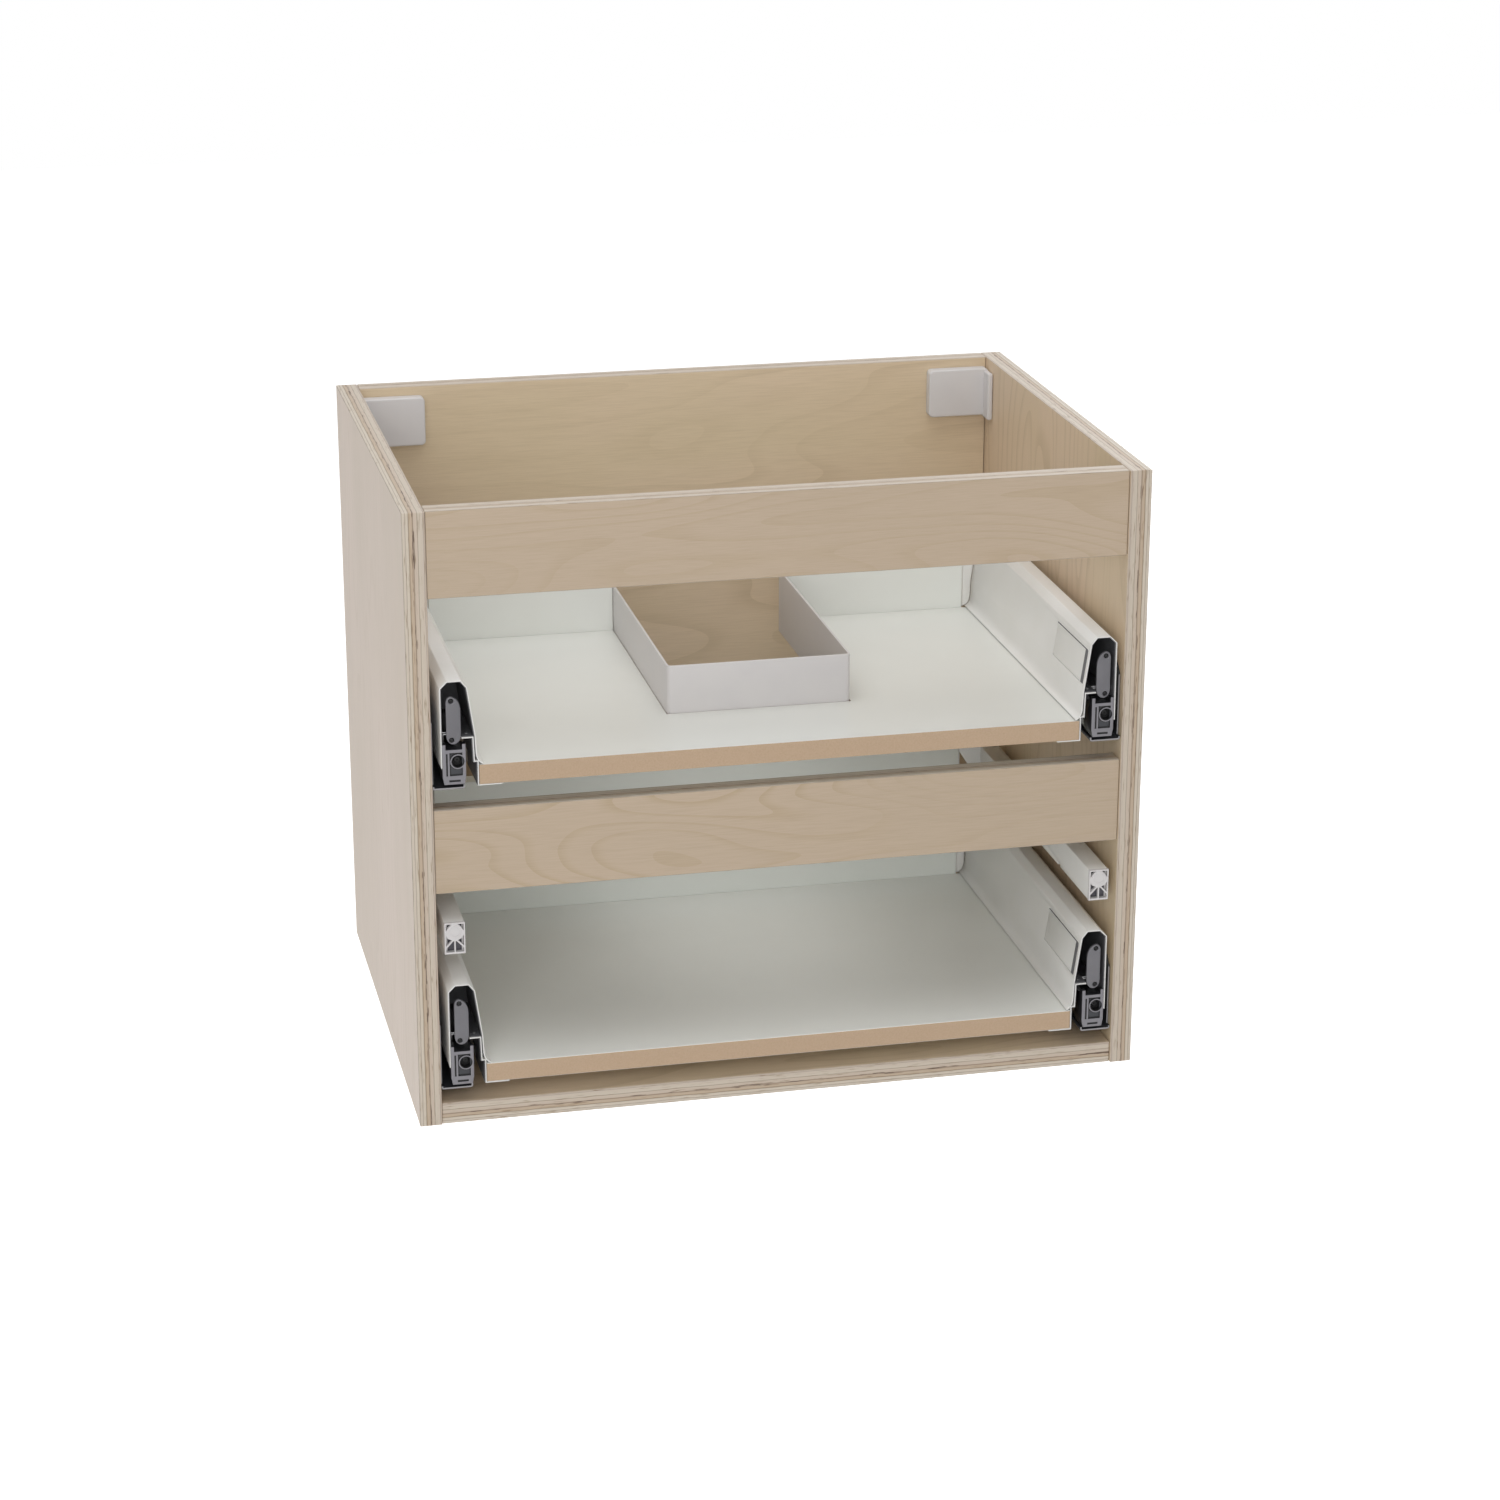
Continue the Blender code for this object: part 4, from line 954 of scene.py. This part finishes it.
# %% [markdown]
# ## Sections of folded sheet
# A drawer side is sheet steel that comes off a folding press, so it has one thickness and one
# section all along. The edges of a block could be cut to that shape, but a line of corners says how
# the sheet was folded. It is moved inwards with mitred corners where a second sheet lies inside the
# first, and run back along Y. Each corner is an inset and a drop, in mm, from the outer top corner.

# %% Sections of the sheets
chassis_sheet = 0.8 * mm
lining_sheet = 0.7 * mm
lining_from_skin = 0.75 * mm
SKIN_SECTION = (
    (0.4, 62.0), (0.4, 5.9), (5.9, 0.4), (16.9, 0.4), (21.5, 6.1), (27.2, 45.5), (27.9, 60.5),
    (28.6, 64.0),
)
CHASSIS_SECTION = (
    (16.6, 47.0), (25.5, 47.0), (26.2, 66.9), (29.1, 66.9), (29.1, 86.8), (48.0, 86.8),
)


def moved_inwards(points, distance):
    """The same open line of points, moved to its right by a distance, with mitred corners."""
    runs = [(b - a).normalized() for a, b in zip(points, points[1:])]
    moved = []
    for k, point in enumerate(points):
        before, after = runs[max(k - 1, 0)], runs[min(k, len(runs) - 1)]
        normals = [Vector((-run.y, run.x)) for run in (before, after)]
        middle = (normals[0] + normals[1]).normalized()
        moved.append(point + middle * (distance / middle.dot(normals[0])))
    return moved


def section_in_place(section, distance, profile, side):
    """Corners of a section in X and Z, moved inwards and set on one drawer side."""
    _, high, outer, _ = box_of(profile, side)
    points = moved_inwards([Vector(point) * mm for point in section], distance)
    return [Vector((outer - side * point.x, 0.0, high.z - point.y)) for point in points]


def add_folded_sheet(bm, corners, start, length, thickness):
    """Adds a sheet along a line of corners that runs back from a start along Y."""
    line = bmesh.new()
    verts = [line.verts.new(Vector((corner.x, start, corner.z))) for corner in corners]
    edges = [line.edges.new(pair) for pair in zip(verts, verts[1:])]
    drawn = bmesh.ops.extrude_edge_only(line, edges=edges)["geom"]
    far = [item for item in drawn if isinstance(item, bmesh.types.BMVert)]
    bmesh.ops.translate(line, vec=(0.0, length, 0.0), verts=far)
    solid = dict(thickness=thickness, offset=0.0, use_even_offset=True)
    sheet = baked(mesh_from(line, "sheet"), [("SOLIDIFY", solid)])
    bm.from_mesh(sheet)


print("sections of", len(SKIN_SECTION), "and", len(CHASSIS_SECTION), "corners")

# %% [markdown]
# ## Folded chassis and black linings
# The inner chassis has a shelf, a web, a step that takes the board, and a flange under it. Just
# inside the front of skin and chassis sits a black moulded lining, with a black floor on the shelf.
# It holds the fixing block and hides the raw inside of the steel, and its black is also painted
# shade, which is why the open end of a profile looks nearly black. A black finish on the inside of
# the steel would do from the front, but it would show at the back.

# %% Chassis and linings
lining_start = 1.2 * mm
lining_length = 70.0 * mm
chassis_lining_length = 50.0 * mm
lining_shelf_drop = 45.9 * mm
lining_floor = 0.5 * mm
lining_floor_insets = (16.7 * mm, 25.6 * mm)


def chassis(drawer, word, side):
    """The folded inner sheet of one drawer side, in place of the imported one."""
    node = f"{drawer}_side_chassis_{word}"
    low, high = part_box(node)
    bm = bmesh.new()
    corners = section_in_place(CHASSIS_SECTION, 0.0, f"{drawer}_drawer_side_{word}", side)
    add_folded_sheet(bm, corners, low.y, high.y - low.y, chassis_sheet)
    take_place(node, mesh_from(bm, node))


def lining(drawer, word, side):
    """The lining of one profile, its closed back end, its floor, and the lining of the chassis, all
    black, which also paints the shade inside the profile.
    """
    profile = f"{drawer}_drawer_side_{word}"
    low, high, outer, _ = box_of(profile, side)
    start = low.y + lining_start
    bm = bmesh.new()
    shown = section_in_place(SKIN_SECTION, lining_from_skin, profile, side)
    add_folded_sheet(bm, shown, start, lining_length, lining_sheet)
    inside = section_in_place(CHASSIS_SECTION[:-1], lining_from_skin, profile, side)
    add_folded_sheet(bm, inside, start, chassis_lining_length, lining_sheet)
    shelf = high.z - lining_shelf_drop
    above = [point for point in shown[1:] if point.z > shelf]
    corners = [Vector((point.x, 0.0, shelf)) for point in (shown[0], above[-1])]
    end = [Vector((p.x, start + lining_length, p.z)) for p in (corners[0], *above, corners[1])]
    cover = bm.faces.new([bm.verts.new(point) for point in end])
    made = bmesh.ops.extrude_face_region(bm, geom=[cover])["geom"]
    moved = [item for item in made if isinstance(item, bmesh.types.BMVert)]
    bmesh.ops.translate(bm, vec=(0.0, lining_sheet, 0.0), verts=moved)
    near, far = (outer - side * inset for inset in lining_floor_insets)
    add_block(
        bm, Vector((min(near, far), start, shelf - lining_floor)),
        Vector((max(near, far), start + lining_length, shelf)),
    )
    drawer_piece(drawer, f"profile_lining_{word}", mesh_from(bm, "lining"), black_lining_and_shade)


for fitting in FITTINGS:
    chassis(*fitting)
    lining(*fitting)
print("chassis folded, linings", round(lining_length / mm), "mm deep")

# %% [markdown]
# ## Painted shade in the fixing blocks
# Behind the openings of a fixing block its adjusting gear lies deep in shade, and the eye reads it
# as depth: dark slots and a dark bore in a grey frame. Modelling the gear would add parts that
# nobody sees, so black pieces paint that shade: a dark plate closes the sunk field, black bars lie
# in the slots and in the gaps round that field, and a turned black cup lines the bore.

# %% Painted shade in the fixing blocks
shade_thickness = 0.8 * mm
shade_overlap = 0.1 * mm
# Offset, depth, rise, width and height of each dark bar, from the lower left corner of the block:
# the upright slot, the foot slot, and the gaps at the left, lower and upper edge of the sunk field
SHADE_BARS = (
    (2.8, 0.8, 7.0, 1.4, 18.5), (4.4, 0.8, 1.9, 10.2, 1.9), (5.7, 1.2, 7.1, 0.9, 18.7),
    (5.7, 1.2, 7.1, 10.0, 0.8), (5.7, 1.2, 24.6, 10.0, 1.3),
)
field_corners = ((5.7, 7.1), (15.7, 7.1), (15.7, 25.9), (5.7, 25.9))
field_depth = 1.4 * mm
field_rim = 0.1 * mm
field_bore_radius = 5.6 * mm
block_boss_offset = 12.2 * mm
block_boss_rise = 18.6 * mm
# Radius and depth along each turned part: the cup in the bore, and the shaded ring round the boss
TURNED_SHADE = (
    ((0, 7.0), (4.8, 7.0), (4.8, 0.6), (5.3, 0.6), (5.3, 7.6), (0, 7.6)),
    ((6.0, 1.3), (6.9, 1.3), (6.9, 1.9), (6.0, 1.9), (6.0, 1.3)),
)


def add_bar(bm, low, bar):
    """Adds a bar at its place in a fixing block, a little larger than the opening that shows it."""
    offset, depth, rise, width, height = bar
    corner = low + Vector((offset, depth, rise)) * mm
    size = Vector((width * mm, shade_thickness, height * mm))
    spare = Vector((shade_overlap, 0.0, shade_overlap))
    add_block(bm, corner - spare, corner + size + spare)


def block_painted_shade(drawer, word):
    """The plate of painted shade in the sunk field of one fixing block, and the black bars, cup and ring
    that paint the shade in its openings.
    """
    low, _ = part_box(f"{drawer}_front_fixing_block_{word}")
    outline = [(low.x + offset * mm, low.z + rise * mm) for offset, rise in field_corners]
    bore = circle(low.x + block_boss_offset, low.z + block_boss_rise, field_bore_radius)
    bm = flat_casting("field", [outline, bore], shade_thickness, field_rim, "VECTOR")
    middle = low.y + field_depth + shade_thickness / 2
    bmesh.ops.translate(bm, vec=(0.0, middle, 0.0), verts=bm.verts)
    drawer_piece(drawer, f"block_field_{word}", mesh_from(bm, "field"), field_shade_steel)
    bm = bmesh.new()
    for bar in SHADE_BARS:
        add_bar(bm, low, bar)
    boss = low + Vector((block_boss_offset, 0.0, block_boss_rise))
    for profile in TURNED_SHADE:
        add_turned(bm, boss, [(radius * mm, depth * mm) for radius, depth in profile])
    drawer_piece(drawer, f"block_gear_{word}", mesh_from(bm, "gear"), depth_shade_black)


for drawer, word, _ in FITTINGS:
    block_painted_shade(drawer, word)
print("gear behind", len(SHADE_BARS) + len(TURNED_SHADE), "openings of each fixing block")

# %% [markdown]
# ## Painted shade round the cover caps
# A cover cap snaps into a window in the steel. In front of it stays a gap of a few millimetres, and
# along its top a hairline, and the shade in both is painted with black strips: two dark lines on a
# white wall. The wall leans, and a plain box would stand out of it at one end. So each strip is the
# cap's own mesh, squeezed and moved up along the lean.

# %% Painted shade round the cover caps
gap_shade_start = 3.5 * mm
gap_shade_width = 6.0 * mm
top_gap_shade_height = 0.4 * mm
gap_shade_proud = 0.12 * mm
cap_sheet = 1.0 * mm


def cap_gap_shades(drawer, word, side):
    """The broad strip of painted shade in front of one cap and the fine one along its top."""
    node = f"{drawer}_cover_cap_{word}"
    low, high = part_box(node)
    size = high - low
    lean = (size.x - cap_sheet) / size.z
    bm = bmesh.new()
    broad = (low.y - gap_shade_start, gap_shade_width, size.z)
    fine = (low.y - gap_shade_start + gap_shade_width, size.y + gap_shade_start - gap_shade_width, top_gap_shade_height)
    for start, length, height in (broad, fine):
        known = set(bm.verts)
        bm.from_mesh(merged(node))
        for vert in set(bm.verts) - known:
            level = high.z - (high.z - vert.co.z) * height / size.z
            vert.co.x += side * (lean * (level - vert.co.z) - gap_shade_proud)
            vert.co.y = start + (vert.co.y - low.y) * length / size.y
            vert.co.z = level
    drawer_piece(drawer, f"cap_seal_{word}", mesh_from(bm, "seal"), black_lining_and_shade)


for fitting in FITTINGS:
    cap_gap_shades(*fitting)
print("seals", gap_shade_width / mm, "mm wide in front of each cap")

# %% [markdown]
# ## The shape of a screw head
# Pan-head screws hold the runners to the side panels, the brackets to the backs and the steel to
# the boards, and darker set screws sit in the link plates and the fixing blocks. They are all one
# shape in several sizes. The head is a flattened ball that is cut off below and above, with two
# crossed bars cut out of it. It could be modelled as a mesh, but as a geometry tree its height and
# the depth of its recess stay open. All lengths are shares of its radius, which is 1.

# %% The shape of a screw head
head_height_share = 0.42
head_dome_share = 0.60
cross_length_share = 1.10
cross_width_share = 0.20
cross_depth_share = 0.24
head_sides = 24
head_rings = 12
cutter_share = 3.0


def pan_head(tree, given):
    """A pan head of radius 1 with a cross recess, on the XY plane."""
    ball = add_node(
        tree, "GeometryNodeMeshUVSphere", {"Segments": head_sides, "Rings": head_rings, "Radius": 1.0}
    )
    dome = add_node(
        tree, "GeometryNodeTransform", {"Geometry": ball, "Scale": (1.0, 1.0, head_dome_share)}
    )
    block = add_node(tree, "GeometryNodeMeshCube", {"Size": (cutter_share, cutter_share, cutter_share)})
    below = add_node(
        tree, "GeometryNodeTransform",
        {"Geometry": block, "Translation": (0.0, 0.0, -cutter_share / 2)},
    )
    above_height = add_node(
        tree, "ShaderNodeMath", {0: given["Height Share"], 1: cutter_share / 2}, operation="ADD"
    )
    above_place = add_node(tree, "ShaderNodeCombineXYZ", {"Z": above_height})
    above = add_node(
        tree, "GeometryNodeTransform", {"Geometry": block, "Translation": above_place}
    )
    bar_size = add_node(
        tree, "ShaderNodeCombineXYZ",
        {"X": cross_length_share, "Y": cross_width_share, "Z": given["Cross Depth Share"]},
    )
    bar = add_node(tree, "GeometryNodeMeshCube", {"Size": bar_size})
    bar_place = add_node(tree, "ShaderNodeCombineXYZ", {"Z": given["Height Share"]})
    bars = [
        add_node(
            tree, "GeometryNodeTransform",
            {"Geometry": bar, "Translation": bar_place, "Rotation": (0.0, 0.0, turn)},
        )
        for turn in (math.pi / 4, 3 * math.pi / 4)
    ]
    return add_node(
        tree, "GeometryNodeMeshBoolean", {"Mesh 1": dome, "Mesh 2": [below, above, *bars]},
        operation="DIFFERENCE",
    )


print("screw heads of", head_sides, "sides,", head_height_share, "of their radius high")

# %% [markdown]
# ## A head on every point
# The same tree sets the head on every point of a carrier mesh. Each point says with two attributes
# which way its screw faces and how large it is. Placing each screw by hand would do, but then a
# change of the head would be made dozens of times.

# %% A head on every point
def screw_tree():
    """A node group that sets a pan head on every point of a mesh, and its inputs' identifiers."""
    tree = bpy.data.node_groups.new("pan_head_screws", "GeometryNodeTree")
    sockets = {}
    for name, kind, value in (
        ("Geometry", "NodeSocketGeometry", None), ("Height Share", "NodeSocketFloat", head_height_share),
        ("Cross Depth Share", "NodeSocketFloat", cross_depth_share),
        ("Material", "NodeSocketMaterial", None),
    ):
        sockets[name] = tree.interface.new_socket(name, in_out="INPUT", socket_type=kind)
        if value is not None:
            sockets[name].default_value = value
    tree.interface.new_socket("Geometry", in_out="OUTPUT", socket_type="NodeSocketGeometry")
    given = add_node(tree, "NodeGroupInput").outputs
    head = pan_head(tree, given)
    facing = add_node(
        tree, "GeometryNodeInputNamedAttribute", {"Name": "facing"}, data_type="FLOAT_VECTOR"
    )
    radius = add_node(tree, "GeometryNodeInputNamedAttribute", {"Name": "radius"}, data_type="FLOAT")
    turned = add_node(
        tree, "FunctionNodeAlignRotationToVector", {"Vector": facing}, axis="Z"
    )
    set_on = add_node(
        tree, "GeometryNodeInstanceOnPoints",
        {"Points": given["Geometry"], "Instance": head, "Rotation": turned, "Scale": radius},
    )
    real = add_node(tree, "GeometryNodeRealizeInstances", {"Geometry": set_on})
    painted = add_node(
        tree, "GeometryNodeSetMaterial", {"Geometry": real, "Material": given["Material"]}
    )
    add_node(tree, "NodeGroupOutput", {"Geometry": painted})
    return tree, {name: socket.identifier for name, socket in sockets.items()}


screws, screw_inputs = screw_tree()
print("screw tree with", len(screws.nodes), "nodes")

# %% [markdown]
# ## Where the screws sit
# A screw sits where two pieces need it, so its place is a share of the length of one of them, or a
# distance from an edge that a fitter would mark. Places could be typed in as coordinates, but then
# they would stay behind if a piece changed. Each screw is a place, the way it faces and a radius.

# %% Places of the screws
runner_screw_shares = (0.07, 0.28, 0.62, 0.90)
runner_screw_rise = 40.0 * mm
runner_sheet = 1.5 * mm
runner_screw_radius = 3.2 * mm
under_screw_shares = (0.10, 0.50, 0.88)
under_screw_inset = 7.0 * mm
under_screw_radius = 2.8 * mm
bracket_screw_shares = (0.30, 0.72)
bracket_screw_inset = 14.0 * mm
bracket_screw_radius = 2.8 * mm
link_screw_radius = 1.75 * mm
link_screw_depth = 1.6 * mm
set_screw_radius = 3.0 * mm
set_screw_depth = 6.6 * mm
shelf_screw_inset = 18.3 * mm
shelf_screw_depth = 9.0 * mm
shelf_screw_radius = 2.2 * mm
FRONT, BACK, DOWN, UP = Vector((0, -1, 0)), Vector((0, 1, 0)), Vector((0, 0, -1)), Vector((0, 0, 1))


def runner_screws(drawer, word, side):
    """Four screws through the wing of a runner into the side panel."""
    low, high, outer, _ = box_of(f"{drawer}_runner_cabinet_member_{word}", side)
    wing = outer - side * runner_sheet
    return [
        (Vector((wing, low.y + share * (high.y - low.y), low.z + runner_screw_rise)),
         Vector((-side, 0, 0)), runner_screw_radius)
        for share in runner_screw_shares
    ]


def drawer_screws(drawer, word, side):
    """The plated screws of one drawer side: under its board, in its rear bracket and on its shelf."""
    low, high, outer, inner = box_of(f"{drawer}_side_chassis_{word}", side)
    rows = [
        (Vector((inner + side * under_screw_inset, low.y + share * (high.y - low.y), low.z)), DOWN,
         under_screw_radius)
        for share in under_screw_shares
    ]
    on_shelf = Vector((outer - side * shelf_screw_inset, low.y + shelf_screw_depth, high.z))
    rows.append((on_shelf, UP, shelf_screw_radius))
    low, high, _, inner = box_of(f"{drawer}_rear_bracket_{word}", side)
    rows += [
        (Vector((inner + side * bracket_screw_inset, high.y, low.z + share * (high.z - low.z))), BACK,
         bracket_screw_radius)
        for share in bracket_screw_shares
    ]
    return rows


def set_screws(drawer, word, side):
    """The screws at the front of a drawer side, near black as painted shade of their holes: two in the
    link plate, one in the boss.
    """
    low, high, outer, _ = box_of(f"{drawer}_front_link_plate_{word}", side)
    middle = (low.z + high.z) / 2
    rows = [
        (Vector((outer - side * plate_hole_from_edge, low.y + link_screw_depth,
                 middle + end * plate_hole_pitch / 2)), FRONT, link_screw_radius)
        for end in (-1, 1)
    ]
    low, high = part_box(f"{drawer}_front_fixing_block_{word}")
    boss = Vector((low.x + block_boss_offset, low.y + set_screw_depth, low.z + block_boss_rise))
    return rows + [(boss, FRONT, set_screw_radius)]


in_cabinet = [screw for fitting in FITTINGS for screw in runner_screws(*fitting)]
print(len(in_cabinet), "screws hold the runners")

# %% [markdown]
# ## Setting the screws
# A carrier mesh has one vertex for each screw of one body and one finish. The tree turns it into
# heads, and the result is kept as a plain mesh, because a live tree and its instances wouldn't
# travel with the model.

# %% Setting the screws
def add_screws(name, rows, body, material, slot):
    """One mesh with all the screw heads of a body that have the same finish."""
    carrier = bpy.data.meshes.new(name)
    carrier.from_pydata([place for place, _, _ in rows], [], [])
    facing = carrier.attributes.new("facing", "FLOAT_VECTOR", "POINT")
    facing.data.foreach_set("vector", [part for _, way, _ in rows for part in way])
    radius = carrier.attributes.new("radius", "FLOAT", "POINT")
    radius.data.foreach_set("value", [size for _, _, size in rows])
    helper = bpy.data.objects.new(name, carrier)
    bpy.context.scene.collection.objects.link(helper)
    maker = helper.modifiers.new("heads", "NODES")
    maker.node_group = screws
    maker[screw_inputs["Height Share"]] = head_height_share
    maker[screw_inputs["Cross Depth Share"]] = cross_depth_share
    maker[screw_inputs["Material"]] = material
    evaluated = helper.evaluated_get(bpy.context.evaluated_depsgraph_get())
    mesh = bpy.data.meshes.new_from_object(evaluated)
    helper.modifiers.remove(maker)
    bpy.data.objects.remove(helper)
    place_piece(name, mesh, body, material, slot)
    print(name, len(rows), "heads,", len(mesh.polygons), "faces")


add_screws("runner_screws", in_cabinet, "cabinet", zinc_strip, "bright_steel")
for drawer in DRAWERS:
    own = [fitting for fitting in FITTINGS if fitting[0] == drawer]
    plated = [screw for fitting in own for screw in drawer_screws(*fitting)]
    dark = [screw for fitting in own for screw in set_screws(*fitting)]
    add_screws(f"{drawer}_drawer_screws", plated, f"{drawer}_drawer", zinc_strip, "bright_steel")
    add_screws(f"{drawer}_drawer_set_screws", dark, f"{drawer}_drawer", depth_shade_black, "dark_steel")

# %% [markdown]
# ## Background
# A world of even soft light fills the carcass the way a white studio does. Seen by the camera it
# would be grey at that strength, and brighter light would wash the wood out. So the world is white
# only for rays that look straight at it or come off a shiny surface, and dimmer for all others.

# %% Background
fill_level = 0.44
plain_white = linear("FFFFFF")
world = bpy.data.worlds.new("studio")
bpy.context.scene.world = world
world.use_nodes = True
world.node_tree.nodes.clear()


def seen_directly(tree):
    """1 for rays that look straight at the background or mirror it, else 0."""
    path = add_node(tree, "ShaderNodeLightPath").outputs
    mirrored = add_node(
        tree, "ShaderNodeMath",
        {0: path["Is Glossy Ray"], 1: path["Is Transmission Ray"]}, operation="MAXIMUM",
    )
    return add_node(
        tree, "ShaderNodeMath", {0: path["Is Camera Ray"], 1: mirrored}, operation="MAXIMUM"
    )


strength = add_node(
    world.node_tree, "ShaderNodeMapRange",
    {"Value": seen_directly(world.node_tree), "To Min": fill_level, "To Max": 1.0},
)
sky = add_node(
    world.node_tree, "ShaderNodeBackground", {"Color": plain_white, "Strength": strength}
)
add_node(world.node_tree, "ShaderNodeOutputWorld", {"Surface": sky})
print("the world lights the cabinet at", fill_level, "of white")

# %% [markdown]
# ## Floor
# The cabinet hangs at washbasin height, so the pale floor lies well below it. A floor of nothing
# but light would match the background, but it would lose the cabinet's shadow. So the floor is
# matt and pale, and for the same rays it glows by what it lacks to white in the open.

# %% Floor
rim_height = 850 * mm
floor_size = 12.0
floor_glow = 0.66
floor_roughness = 0.9
floor_tone = "F2F2F2"
bm = bmesh.new()
bmesh.ops.create_grid(bm, x_segments=1, y_segments=1, size=floor_size / 2)
floor_mesh = bpy.data.meshes.new("floor")
bm.to_mesh(floor_mesh)
bm.free()
floor = bpy.data.objects.new("floor", floor_mesh)
floor.location = (0.0, 0.0, cad_box[1].z - rim_height)
bpy.context.scene.collection.objects.link(floor)

floor_material, tree, shader = new_material("pale_floor")
glow = add_node(tree, "ShaderNodeMath", {0: seen_directly(tree), 1: floor_glow}, operation="MULTIPLY")
feed(
    tree, shader,
    {"Base Color": linear(floor_tone), "Roughness": floor_roughness,
     "Emission Color": plain_white, "Emission Strength": glow},
)
floor.data.materials.append(floor_material)
print("floor", rim_height, "m under the rim")

# %% [markdown]
# ## Softboxes
# A large lamp overhead reaches down through the open top, one in front and to the left lights the
# drawers, and one behind and to the right keeps the back and the far side from going dull. Small
# lamps would draw hard shadows inside the carcass, so each is about as wide as four cabinets.

# %% Softboxes
aim = Vector((0.0, -0.2, 0.0))
# Each softbox: its name, its place and its width in metres, and its power in watts
SOFTBOXES = (
    ("softbox_overhead", (-0.3, -0.5, 2.4), 2.4, 28.0),
    ("softbox_front", (-0.9, -3.2, 0.9), 2.0, 32.5),
    ("softbox_rear", (2.2, 2.4, 0.9), 2.4, 26.0),
)
for name, place, size, watts in SOFTBOXES:
    lamp_data = bpy.data.lights.new(name, "AREA")
    lamp_data.size = size
    lamp_data.energy = watts
    lamp = bpy.data.objects.new(name, lamp_data)
    lamp.location = place
    lamp.rotation_euler = (aim - lamp.location).to_track_quat("-Z", "Y").to_euler()
    bpy.context.scene.collection.objects.link(lamp)
bpy.context.scene.view_settings.view_transform = "Standard"
print(len(SOFTBOXES), "softboxes,", sum(watts for *_, watts in SOFTBOXES), "W together")
